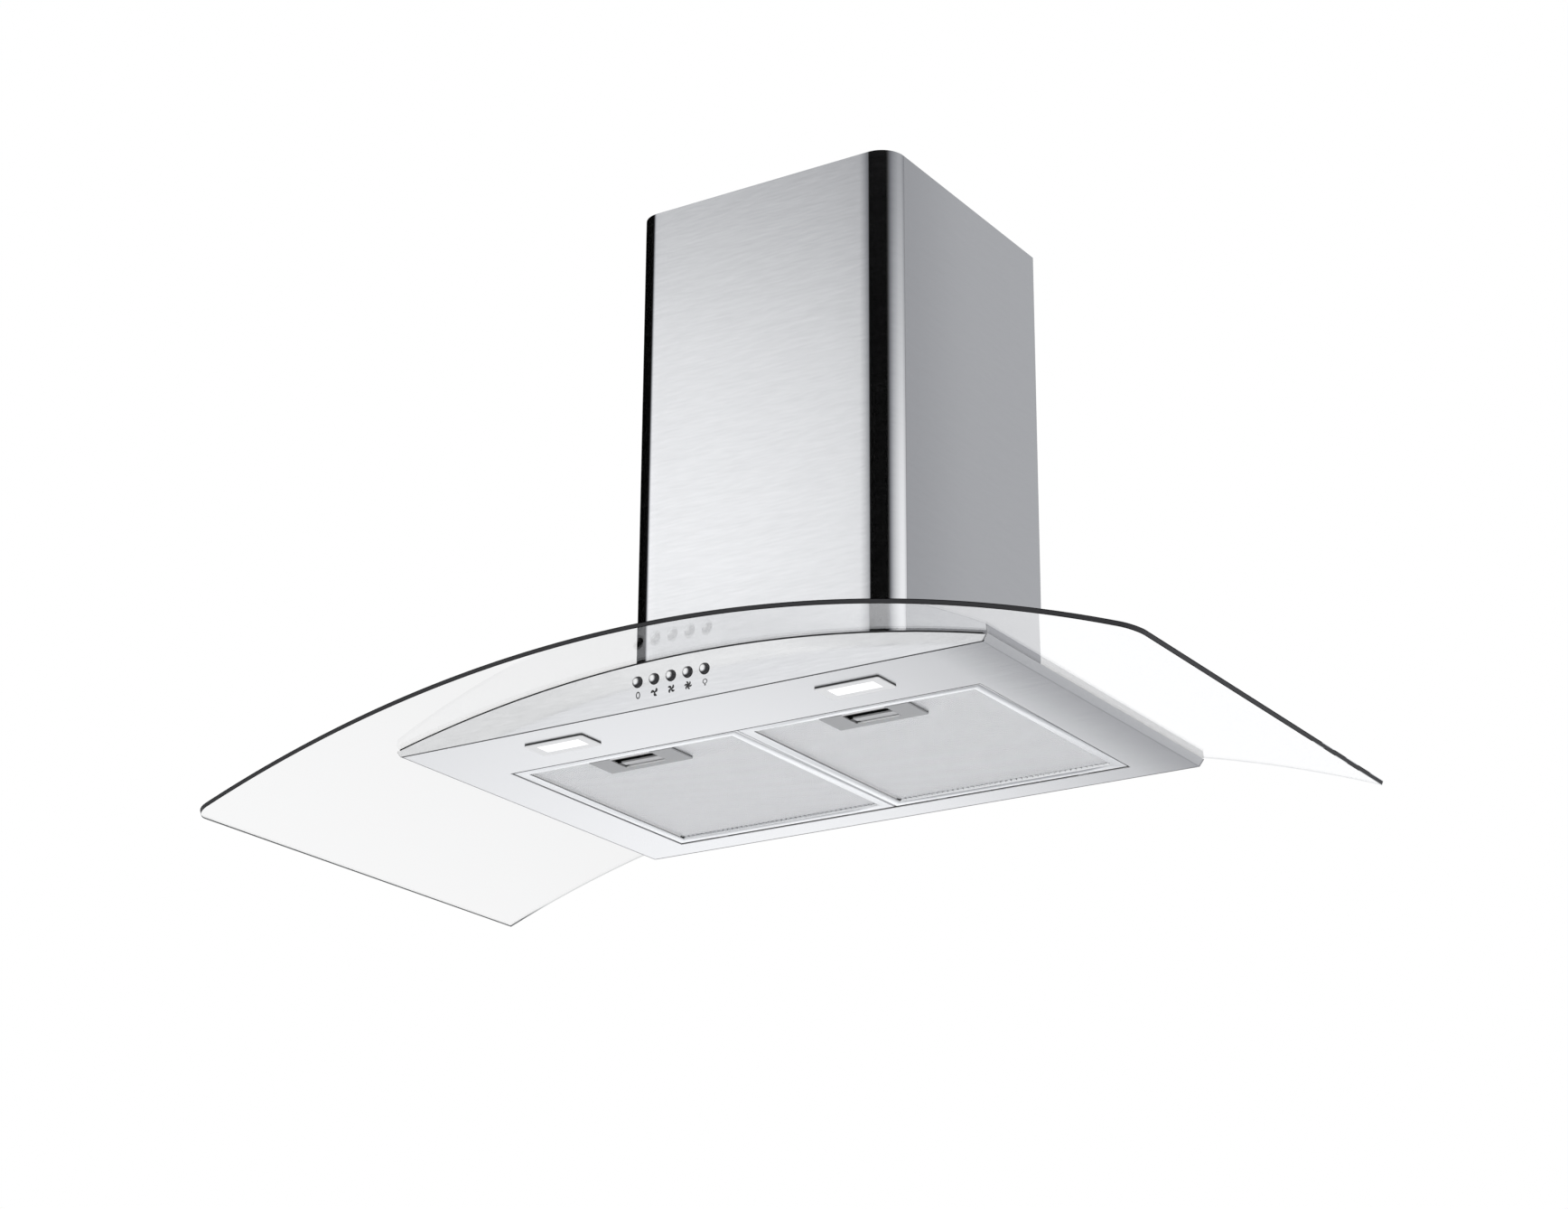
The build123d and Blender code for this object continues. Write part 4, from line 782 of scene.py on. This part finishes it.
def cover(name, node, foot, vents=()):
    """A folded sheet in plan, carried up from its foot (a function of x) to the node's top."""
    low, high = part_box(node)
    radius = chimney_corner - chimney_half - low.x
    corners = [
        (low.x + return_width, high.y), (low.x, high.y), (low.x, low.y),
        (high.x, low.y), (high.x, high.y), (high.x - return_width, high.y),
    ]
    path, normal = bent(corners, [0, fold_radius, radius, radius, fold_radius, 0], 16)
    seam = low.y + radius + corner_seam
    sides = np.array(sorted({seam} | {y for box in vents for y in box[:2]}))
    places = []
    for start, end in zip(path[:-1], path[1:]):
        places.append(start[None])
        run = end - start
        if np.linalg.norm(run) > 0.1:
            split = np.linspace(0, 1, 25)[1:-1]
            if abs(run[1]) > 1e-6:
                split = np.sort((sides - start[1]) / run[1])
            places.append(start + run * split[:, None])
    places.append(path[-1][None])
    fine = np.concatenate(places)
    along = np.concatenate([[0], np.cumsum(np.linalg.norm(np.diff(path, axis=0), axis=1))])
    walked = np.concatenate([[0], np.cumsum(np.linalg.norm(np.diff(fine, axis=0), axis=1))])
    turned = np.stack([np.interp(walked, along, normal[:, axis]) for axis in (0, 1)], 1)
    heights = np.array(sorted({0.0, high.z} | {z for box in vents for z in box[2:]}))

    def place(side):
        """Plan point plus its normal times the sheet, at each height."""
        plan = fine + turned * sheet * side
        z = np.tile(heights, (len(plan), 1))
        z[:, 0] = foot(fine[:, 0])
        return spread(plan[:, :1], plan[:, 1:], z)

    x, y = ((fine[:-1] + fine[1:]) / 2).T
    on_side = np.abs(x) > high.x - 0.001
    tall = (heights[:-1] + heights[1:]) / 2
    keep = np.ones((len(x), len(tall)), bool)
    for y0, y1, z0, z1 in vents:
        keep &= ~np.outer(on_side & (y > y0) & (y < y1), (tall > z0) & (tall < z1))
    tones = np.zeros(keep.shape, int)
    # A painted shade line along each side, just behind the round corner.
    tones[on_side & (y < seam) & (y > seam - corner_seam)] = 2
    points, faces, marks = plate(keep, place, tones)
    make_piece(name, points, faces, [brushed_steel, brushed_steel, painted_fold_shade],
               "upper_chimney" if vents else "hood", [node], marks)


def on_glass(x):
    """z of the chimney's foot: the glass's upper face at x, plus the gap."""
    return np.sqrt((glass_under_radius + glass_thick + cover_gap) ** 2 - x**2) + bend_axis


def upper_vents():
    """(y0, y1, z0, z1) of each vent slot in the upper cover's sides, from the top down."""
    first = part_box("chimney_upper_cover")[1].z - bracket_height - vent_below_bracket
    y0 = -(cover_depth + vent_length) / 2
    feet = [first - step * vent_pitch for step in range(vent_count)]
    return [(y0, y0 + vent_length, foot, foot + vent_height) for foot in feet]


def level_foot(x):
    """z of the upper cover's foot, the same at every x."""
    return np.full_like(x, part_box("chimney_upper_cover")[0].z)


cover("chimney_cover_lower", "chimney_lower_cover", on_glass)
cover("chimney_cover_upper", "chimney_upper_cover", level_foot, upper_vents())
show(galvanised, "chimney_top_bracket")

# ---------------- grease filters
# Each filter is a rolled aluminium frame round a perforated face sheet and a stack of
# expanded sheets. It hangs on two hooks at the rear and is held by a finger latch in front.
frame_border = 0.011
frame_wall = 0.0008
frame_lip = 0.0020
hole_pitch = 0.0028
hole_radius = 0.00088
border_dish = 0.0003
mesh_gap = 0.0003
rear_gap = 0.0016
crimp_pitch = 0.0053
crimp_width = 0.0046
crimp_thick = 0.0004
crimp_overlap = 0.0004
hook_apart = 0.070
hook_notch_half = 0.006
top_flange = 0.006
pin_radius = 0.0012
pin_play = 0.00006
pin_height = 0.0033
pin_end = 0.003
hook_wall = 0.001
face_thick = 0.0005
window_half = 0.016
window_top = 0.0042
seat_foot = 0.0002
seat_thick = 0.0006

frame_aluminium = finish("rolled_aluminium", mottled((0.82, 0.83, 0.84), (0.89, 0.90, 0.91), 300),
                         worn(0.20, 0.10, 500), 1.0)


def lip_colour(tree):
    """Painted shade: dark at the lip's foot and in front, greyer towards the sheet and the rear, with fine
    dashes.
    """
    x, y, z = axes(tree)
    lip_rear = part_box("filter_frame_left")[1].y - frame_border
    dashes = (y * (2 * math.pi / hole_pitch)).math("SINE") * 0.12
    # The lip's darkness is painted shade, lighter higher up and towards the rear.
    lit = z.between(0.0011, 0.0015) * 0.7 + y.between(-0.28, -0.10) * 0.1 + dashes
    corner = y.between(lip_rear - 0.0073, lip_rear - 0.0053)
    corner = corner * (1 - y.between(lip_rear - 0.0003, lip_rear - 0.0001))
    return tinted(tree, lit * (1 - corner), (0.05, 0.05, 0.052), (0.85, 0.855, 0.86))


shaded_lip = finish("shaded_lip", lip_colour, 0.5, 0.3)
mesh_aluminium = finish("perforated_aluminium", mottled((0.92, 0.925, 0.935), (0.97, 0.975, 0.985), 45),
                        worn(0.30, 0.15, 200), 1.0)
core_aluminium = finish("expanded_aluminium", mottled((0.62, 0.625, 0.63), (0.85, 0.855, 0.86), 350),
                        0.5, 1.0)


def pin_axis():
    """y and z of the hinge pins: the middle of the hooks' eyes."""
    hooks_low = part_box("filter_hinge_hooks")[0]
    eye = pin_radius + pin_play + hook_wall
    return hooks_low.y + eye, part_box("filter_frame_left")[0].z + pin_height


def filter_frame(side):
    """A bent C-section carried round a rectangle with mitred corners, and two hinge pins.

    Stations go round the outline. Between two stations a stretch of the section may be cut
    out: the notches for the hooks at the rear and the latch's window in front.
    """
    low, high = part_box("filter_frame_" + side)
    middle = (low.x + high.x) / 2
    lip = low.z + frame_lip
    corners = [(frame_border, lip), (frame_border, low.z + border_dish), (0, low.z), (0, high.z)]
    path, normal = bent([*corners, (top_flange, high.z)], [0, 0.0012, 0.0014, 0.001, 0], 5)
    wall_foot = 12
    path = np.insert(path, wall_foot + 1, (0, low.z + window_top), 0)
    normal = np.insert(normal, wall_foot + 1, normal[wall_foot], 0)
    last = len(path) - 1
    section = np.concatenate([path, (path - normal * frame_wall)[::-1]])
    inset, z = section.T
    count = len(inset)
    notches = [middle + edge * hook_apart + end * hook_notch_half for edge in (1, -1) for end in (1, -1)]
    window = [middle - window_half, middle + window_half]
    left, right = low.x + inset, high.x - inset
    x = np.stack(np.broadcast_arrays(left, *window, right, right, *notches, left))
    y = np.repeat([low.y + inset, high.y - inset], (4, 6), 0)
    points = spread(x, y, z)
    index = np.arange(len(x) * count).reshape(len(x), count)
    onward = np.roll(index, -1, 0)
    faces = np.stack([index, np.roll(index, -1, 1), np.roll(onward, -1, 1), onward], -1)
    marks = np.zeros(faces.shape[:2], int)
    marks[-1, :4] = 1
    keep = np.ones(faces.shape[:2], bool)
    closing = []
    for span, start, end in ((1, wall_foot, wall_foot + 1), (5, wall_foot, last), (7, wall_foot, last)):
        inner_start, inner_end = count - 1 - start, count - 1 - end
        keep[span, start:end] = False
        keep[span, inner_end:inner_start] = False
        if end == last:
            keep[span, last] = False
        here, there = index[span], index[(span + 1) % len(x)]
        for outer, inner in ((start, inner_start), (end, inner_end))[: 1 if end == last else 2]:
            closing.append([here[outer], there[outer], there[inner], here[inner]])
        for step in range(start, end):
            for ring in (here, there):
                closing.append([ring[step], ring[step + 1], ring[count - 2 - step], ring[count - 1 - step]])
    faces = np.concatenate([faces[keep], closing])
    marks = np.concatenate([marks[keep], np.zeros(len(closing), int)])
    parts = [(points.reshape(-1, 3), faces, marks)]
    y, z = pin_axis()
    for edge in (-1, 1):
        parts.append(pin(middle + edge * hook_apart, hook_notch_half + pin_end, y, z))
    points, faces, marks = joined(*parts)
    make_piece("filter_border_" + side, points, faces, [frame_aluminium, shaded_lip], "filter_" + side,
               ["filter_frame_" + side], marks=marks, smooth=50)


def hoops(count, around):
    """The faces between rings of points, each ring closed on itself."""
    index = np.arange(count * around).reshape(count, around)
    return cells(np.concatenate([index, index[:, :1]], 1))


def pin(x, half, y, z):
    """A closed rod along x: rings of radius 0, r, r and 0."""
    turn = full_turn(16)
    radii = np.array([1e-6, 1, 1, 1e-6])[:, None] * pin_radius
    along = np.array([-half, -half, half, half])[:, None]
    points = spread(x + along, y + radii * np.cos(turn), z + radii * np.sin(turn))
    faces = hoops(4, len(turn)).reshape(-1, 4)
    return points.reshape(-1, 3), faces, np.zeros(len(faces), int)


def perforated(low, high, rear, cut):
    """A sheet of staggered six-sided holes: each cell is a ring from its edge to its hole.

    Cell (i, j) is at x0 + (i + 1/2) * column, y0 + (j + 1/2 + half on odd columns) * pitch.
    """
    columns = int(round((high.x - low.x) / (hole_pitch * math.sin(math.radians(60)))))
    rows = int(round((rear - low.y) / hole_pitch))
    column = (high.x - low.x) / columns
    pitch = (rear - low.y) / (rows + 0.5)
    turns = np.arange(6) * math.radians(60)
    i, j = np.meshgrid(np.arange(columns), np.arange(rows), indexing="ij")
    cx = low.x + (i + 0.5) * column
    cy = low.y + (j + 0.5 + 0.5 * (i % 2)) * pitch
    solid = (cx > cut[0]) & (cx < cut[1]) & (cy < cut[2])
    cx, cy, j = cx[~solid], cy[~solid], j[~solid]
    edge = np.stack([np.cos(turns) * column / 1.5, np.sin(turns) * pitch / math.sqrt(3)], -1)
    hole = np.stack([np.cos(turns), np.sin(turns)], -1) * hole_radius
    centre = np.stack([cx, cy], -1)[:, None]
    top = low.z + face_thick
    rings = [(edge, low.z), (hole, low.z), (hole, top), (edge, top)]
    layers = [np.concatenate([centre + ring, np.full((len(cx), 6, 1), z)], -1) for ring, z in rings]
    return np.stack(layers, 1), j < rows / 2


def filter_mesh(side):
    """The face sheet in two halves, cut away round the latch: both faces and the holes' walls."""
    low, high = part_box("filter_mesh_" + side)
    plate_low, plate_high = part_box("latch_plate_" + side)
    cut = (plate_low.x - mesh_gap, plate_high.x + mesh_gap, plate_high.y + mesh_gap)
    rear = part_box("filter_frame_" + side)[1].y - frame_border - rear_gap
    tiles, front = perforated(low, high, rear, cut)
    for part, half in (("front", tiles[front]), ("rear", tiles[~front])):
        index = np.arange(half.shape[0] * 24).reshape(-1, 4, 6)
        near, far = index[:, :-1], index[:, 1:]
        faces = np.stack([near, np.roll(near, -1, 2), np.roll(far, -1, 2), far], -1).reshape(-1, 4)
        mesh = bpy.data.meshes.new("mesh")
        mesh.vertices.add(half.size // 3)
        mesh.vertices.foreach_set("co", half.ravel())
        mesh.loops.add(faces.size)
        mesh.loops.foreach_set("vertex_index", faces.ravel().astype(np.int32))
        mesh.polygons.add(len(faces))
        mesh.polygons.foreach_set("loop_start", np.arange(0, faces.size, 4, dtype=np.int32))
        mesh.update(calc_edges=True)
        mesh.materials.append(mesh_aluminium)
        piece = bpy.data.objects.new(f"filter_mesh_{side}_{part}", mesh)
        bpy.context.collection.objects.link(piece)
        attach(piece, "filter_" + side)
        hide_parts("filter_mesh_" + side)


def crimps(side):
    """The sheet's rear edge is cut into tabs, which are bent down into the frame.

    Tab k runs from x0 + k * pitch for its width, and its height goes (0, 0, drop) across.
    """
    low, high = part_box("filter_frame_" + side)
    count = int((high.x - low.x - 2 * frame_border) / crimp_pitch)
    start = (low.x + high.x - count * crimp_pitch) / 2 + (crimp_pitch - crimp_width) / 2
    y0 = high.y - frame_border - rear_gap - crimp_overlap
    across = np.array([0, 1.2, 2.2]) * 0.001 + y0
    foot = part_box("filter_mesh_" + side)[0].z - np.array([0.0002, 0.0006, 0.0010])
    x = start + crimp_pitch * np.arange(count)[:, None] + np.array([0, crimp_width])
    points = spread(x[..., None, None], across[:, None], foot[:, None] + np.array([0, crimp_thick]))
    index = np.arange(points[..., 0].size).reshape(points.shape[:-1])
    flats = [index[..., 0], index[..., 1], index[:, 0], index[:, 1], index[:, :, 0], index[:, :, -1]]
    faces = np.concatenate([cells(flat).reshape(-1, 4) for flat in flats])
    make_piece("mesh_crimps_" + side, points, faces, [frame_aluminium], "filter_" + side)


def above(tree, height, axis=2):
    """0 below a place along one of the object's axes and 1 above it."""
    return axes(tree)[axis].between(height - 0.0001, height + 0.0001)


latch_low, latch_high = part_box("latch_plate_left")
latch_top = latch_low.z + 0.0014
latch_middle = -(latch_low.x + latch_high.x) / 2
slot_half = 0.02125
slot_rear = -0.2540
lip_setback = 0.0139
# Near black: painted shade inside the latch and in its slot.
painted_inside_shade = (0.004, 0.004, 0.004)
spring_wire_radius = 0.00025
spring_turns = 9


def latch_colour(tree):
    """Grey below and black inside, the black being painted shade; a painted shade along the slot's front
    and a painted highlight on its rear edge.
    """
    x, y, z = axes(tree)
    beside = abs(abs(x) - latch_middle).between(slot_half - 0.002, slot_half)
    front = 1 - y.between(latch_low.y + 0.0030, latch_low.y + 0.0033)
    scoop_shade_ramp = y.between(latch_low.y, latch_low.y + 0.0028)
    # A painted shade that darkens towards the front of the finger slot.
    painted_scoop_shade = tinted(tree, scoop_shade_ramp, (0.80, 0.80, 0.81), (0.02, 0.02, 0.02))
    face = tinted(tree, grain(tree, 500), (0.37, 0.375, 0.385), (0.40, 0.405, 0.415))
    face = tinted(tree, front * (1 - beside), face, painted_scoop_shade)
    # A painted highlight along the slot's rear edge.
    rear = 1 - abs(y - slot_rear).between(0.0001, 0.0002)
    face = tinted(tree, rear * (1 - beside), face, (0.85, 0.855, 0.86))
    return tinted(tree, above(tree, latch_top), face, painted_inside_shade)


def slide_colour(tree):
    """The lip is grey below and low down in front; its left end, the tongue and front bar are painted dark
    as shade.
    """
    along = axes(tree)[0].math("FLOORED_MODULO", 2 * latch_middle) - (latch_middle - slot_half)
    lip_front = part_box("latch_slide_left")[1].y - lip_setback
    upper_front = (1 - above(tree, lip_front + 0.0002, 1)) * above(tree, 0.0020)
    seen = above(tree, lip_front - 0.0001, 1) * (1 - upper_front)
    face = tinted(tree, grain(tree, 400), (0.44, 0.445, 0.455), (0.50, 0.505, 0.515))
    # Near black where it is seen through the slot: painted shade.
    return tinted(tree, seen * along.between(0.0035, 0.0045), painted_inside_shade, face)


latch_grey = finish("latch_grey", latch_colour, 0.45, 0.3)
slide_grey_and_painted_shade = finish("slide_grey_and_painted_shade", slide_colour, 0.4, 0.2)
spring_wire = finish("spring_wire", mottled((0.5, 0.5, 0.5), (0.68, 0.68, 0.68), 1500), 0.3, 1.0)


def latch_spring(side):
    """A wire of radius w wound on a helix of radius r along y.

    The wire's section lies in the plane of the helix's outward normal and binormal.
    """
    low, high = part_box("latch_spring_" + side)
    coil = (high.x - low.x) / 2 - spring_wire_radius
    turn = np.linspace(0, 2 * math.pi * spring_turns, spring_turns * 20 + 1)
    climb = (high.y - low.y - 2 * spring_wire_radius) / turn[-1]
    out = spread(np.cos(turn), 0, np.sin(turn))
    along = spread(-coil * np.sin(turn), climb, coil * np.cos(turn))
    across = np.cross(along / np.linalg.norm(along, axis=1, keepdims=True), out)
    middle = np.array([(low.x + high.x) / 2, low.y + spring_wire_radius, (low.z + high.z) / 2])
    centre = middle + coil * out + np.outer(turn * climb, (0, 1, 0))
    around = full_turn(10)[:, None]
    ring = np.cos(around) * out[:, None] + np.sin(around) * across[:, None]
    points = centre[:, None] + spring_wire_radius * ring
    rings, sides = points.shape[:2]
    caps = np.arange(rings * sides).reshape(rings, sides)[[0, -1]]
    faces = [*hoops(rings, sides).reshape(-1, 4).tolist(), *caps.tolist()]
    spring = make_piece("latch_coil_" + side, points, faces, [spring_wire], "filter_" + side,
                        stands_for=["latch_spring_" + side], smooth=50)
    pull = next(joint for joint in frame["joints"] if joint["name"] == f"latch_{side}_pull")
    travel = pull["range_m"][1]
    1 - travel / (high.y - low.y)
    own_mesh(spring)


def gap_shade_strip():
    """A black foam strip laid in the gap round the filters as painted shade, with a grey painted shade line
    along its left side: a flat grid of cells with an open middle.
    """
    low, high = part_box("filter_frame_left")
    right = np.array([0.0001, filter_gap - 0.0001]) - low.x
    x = np.concatenate([-right[::-1], right])
    y = np.array([low.y - seat_width + 0.0002, low.y - 0.0001, high.y])
    keep = np.array([[True, True], [True, False], [True, True]])
    tones = np.array([[0, 1], [0, 0], [0, 0]])

    def place(side):
        """The grid of corners at the strip's lower or upper face."""
        return spread(x[:, None], y, seat_foot + seat_thick * side)

    points, faces, marks = plate(keep, place, tones)
    make_piece("gap_shade_strip", points, faces, [foam, painted_fold_shade], marks=marks)


gap_shade_strip()
for side in ("left", "right"):
    filter_frame(side)
    filter_mesh(side)
    crimps(side)
    show(core_aluminium, "filter_core_" + side)
    show(latch_grey, "latch_plate_" + side)
    show(slide_grey_and_painted_shade, "latch_slide_" + side)
    latch_spring(side)
show(galvanised, "filter_hinge_hooks")

# ---------------- lamps
# Two rectangular LED lamps: a moulded frame that stands proud of the panel with black sides,
# an opal lens that snaps in from inside, and a small board with five LEDs.
lamp_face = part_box("lamp_frame_left")[0].z + 0.0007
lamp_trim = finish(
    "lamp_trim",
    lambda tree: tinted(tree, above(tree, lamp_face), (0.72, 0.725, 0.735), (0.010, 0.010, 0.011)),
    0.30,
)
lamp_lens = finish("lamp_lens", mottled((0.10, 0.10, 0.10), (0.14, 0.14, 0.14), 800), 0.4,
                   Emission_Color=(1.0, 1.0, 1.0), Emission_Strength=1.0)
for side in ("left", "right"):
    show(lamp_trim, "lamp_frame_" + side)
    show(lamp_lens, "lamp_lens_" + side)
    show(white_plastic, "led_board_" + side)

# ---------------- buttons and switch block
# Five chromed push buttons stand out of the fascia on a common switch block. A small printed
# sign under each says what it does: off, three fan speeds and the lamps.
button_names = ("off", "low", "medium", "high", "light")
button_height = 0.023
sign_height = 0.0119
ink_levels = (0.00002, 0.00007)
blade_swirl = 0.5
button_radius = 0.0045
button_collar = 0.0016
button_dome = 0.0019
dome_edge = 0.0003
button_inside = 0.0040
stem_length = 0.0140
stem_radius = 0.0025
button_pitch = 0.0164
first_button = -0.0363 - button_pitch / 2
button_steps = 48


def dome_painted_reflection(tree):
    """Painted reflection: bright in the middle of each dome, a little to the left, and dark towards its
    rim.
    """
    x, y, z = axes(tree)
    dx = (x - first_button).math("FLOORED_MODULO", button_pitch) - button_pitch / 2 + 0.0006
    dz = z - button_height
    away = (dx * dx + dz * dz).math("SQRT")
    return tinted(tree, away.between(0.0016, 0.0036), (0.92, 0.925, 0.93), (0.05, 0.05, 0.053))


chrome = finish("chrome_button", dome_painted_reflection, worn(0.20, 0.06, 800), 1.0)
# Near black on the collar and stem: a painted dark reflection.
painted_dark_reflection = finish("painted_dark_reflection", mottled((0.012, 0.012, 0.013), (0.03, 0.03, 0.032), 700), 0.25)
ink = finish("printed_ink", mottled((0.010, 0.010, 0.011), (0.03, 0.03, 0.03), 4000), 0.5)
pale_ink = finish("pale_ink", mottled((0.11, 0.11, 0.115), (0.17, 0.17, 0.175), 4000), 0.5)


def button_x(name):
    """Where a button stands along the fascia."""
    low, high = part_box("button_" + name)
    return (low.x + high.x) / 2


def on_fascia(x, up, out):
    """A place on the fascia's front face, out of it by some distance."""
    y = fascia_foot - up * math.sin(fascia_lean) - out * math.cos(fascia_lean)
    return spread(x, y, up * math.cos(fascia_lean) - out * math.sin(fascia_lean))


def push_button(name):
    """A dome, collar and stem: a profile (radius, how far out) turned about its axis."""
    node = "button_" + name
    ball = (button_radius**2 + button_dome**2) / (2 * button_dome)
    tilt = np.linspace(0, math.asin((button_radius - dome_edge) / ball), 13)
    radii = [*ball * np.sin(tilt), *[button_radius] * 3, stem_radius, stem_radius, 0]
    dome = button_collar + button_dome - ball * (1 - np.cos(tilt))
    stem_end = -button_inside - stem_length
    outs = np.array([*dome, button_collar - 0.0002, button_collar / 2, -button_inside, -button_inside,
                     stem_end, stem_end])
    turn = full_turn(button_steps)
    dx = np.outer(radii, np.cos(turn))
    up = np.outer(radii, np.sin(turn)) + button_height
    points = on_fascia(button_x(name) + dx, up, outs[:, None])
    faces = hoops(*dx.shape)
    marks = np.zeros(faces.shape[:2], int)
    # The collar and stem take the painted dark reflection.
    marks[len(tilt):] = 1
    piece = make_piece("push_" + name, points, faces.reshape(-1, 4), [chrome, painted_dark_reflection],
                       node, [node], marks=marks.ravel(), smooth=40)
    piece.visible_glossy = False


def raised(outline, x, tone, hole=None):
    """A flat printed shape: its outline (and hole) drawn twice, a hair apart, and joined."""
    rings = [outline] if hole is None else [outline, hole]
    count = len(outline)
    places = [(x + ring[:, 0], sign_height + ring[:, 1]) for ring in rings]
    points = [on_fascia(*place, out) for place in places for out in ink_levels]
    base = np.arange(count)
    onward = np.roll(base, -1)
    side = np.stack([base, onward, onward + count, base + count], -1)
    if hole is None:
        faces = [*side, base, base + count]
    else:
        flat = np.stack([base, onward, onward + 2 * count, base + 2 * count], -1)
        faces = [*side, *(side + 2 * count), *flat, *(flat + count)]
    return np.concatenate(points), faces, [tone] * len(faces)


def ellipse(half_width, half_height, steps=24, lift=0.0):
    """Points of an ellipse about (0, lift)."""
    turn = full_turn(steps)
    return np.stack([half_width * np.cos(turn), half_height * np.sin(turn) + lift], -1)


def fan_sign(x, blades, reach, width):
    """A hub and blades: each an ellipse pushed out along its ray and bent to one side.

    A blade's point at distance d turns by swirl * (d / reach)^2.
    """
    shapes = [raised(ellipse(0.0009, 0.0009, 12), x, 0)]
    for blade in range(blades):
        petal = ellipse(reach / 2, width / 2, 18)
        petal[:, 0] += reach / 2 + 0.0002
        petal[:, 1] *= 0.55 + 0.6 * petal[:, 0] / reach
        angle = math.radians(25) + 2 * math.pi * blade / blades + blade_swirl * (petal[:, 0] / reach) ** 2
        turned = np.stack([
            petal[:, 0] * np.cos(angle) - petal[:, 1] * np.sin(angle),
            petal[:, 0] * np.sin(angle) + petal[:, 1] * np.cos(angle),
        ], -1)
        shapes.append(raised(turned, x, 0))
    return shapes


def button_signs():
    """Nought, fans with three, four and six blades, and a lamp bulb in outline."""
    bulb = ellipse(0.0024, 0.0022, lift=0.0006)
    inside = ellipse(0.0015, 0.0014, lift=0.0006)
    shapes = [
        raised(ellipse(0.0021, 0.0031), button_x("off"), 0, ellipse(0.0012, 0.0021)),
        *fan_sign(button_x("low"), 3, 0.0036, 0.0028),
        *fan_sign(button_x("medium"), 4, 0.0036, 0.0024),
        *fan_sign(button_x("high"), 6, 0.0035, 0.0019),
        raised(bulb, button_x("light"), 1, inside),
        raised(ellipse(0.0008, 0.0009, 12, lift=-0.0023), button_x("light"), 1),
    ]
    points, faces, marks = joined(*shapes)
    piece = make_piece("button_signs", points, faces, [ink, pale_ink], marks=marks)
    piece.visible_glossy = False


for name in button_names:
    push_button(name)
button_signs()
show(black_plastic, "switch_block")
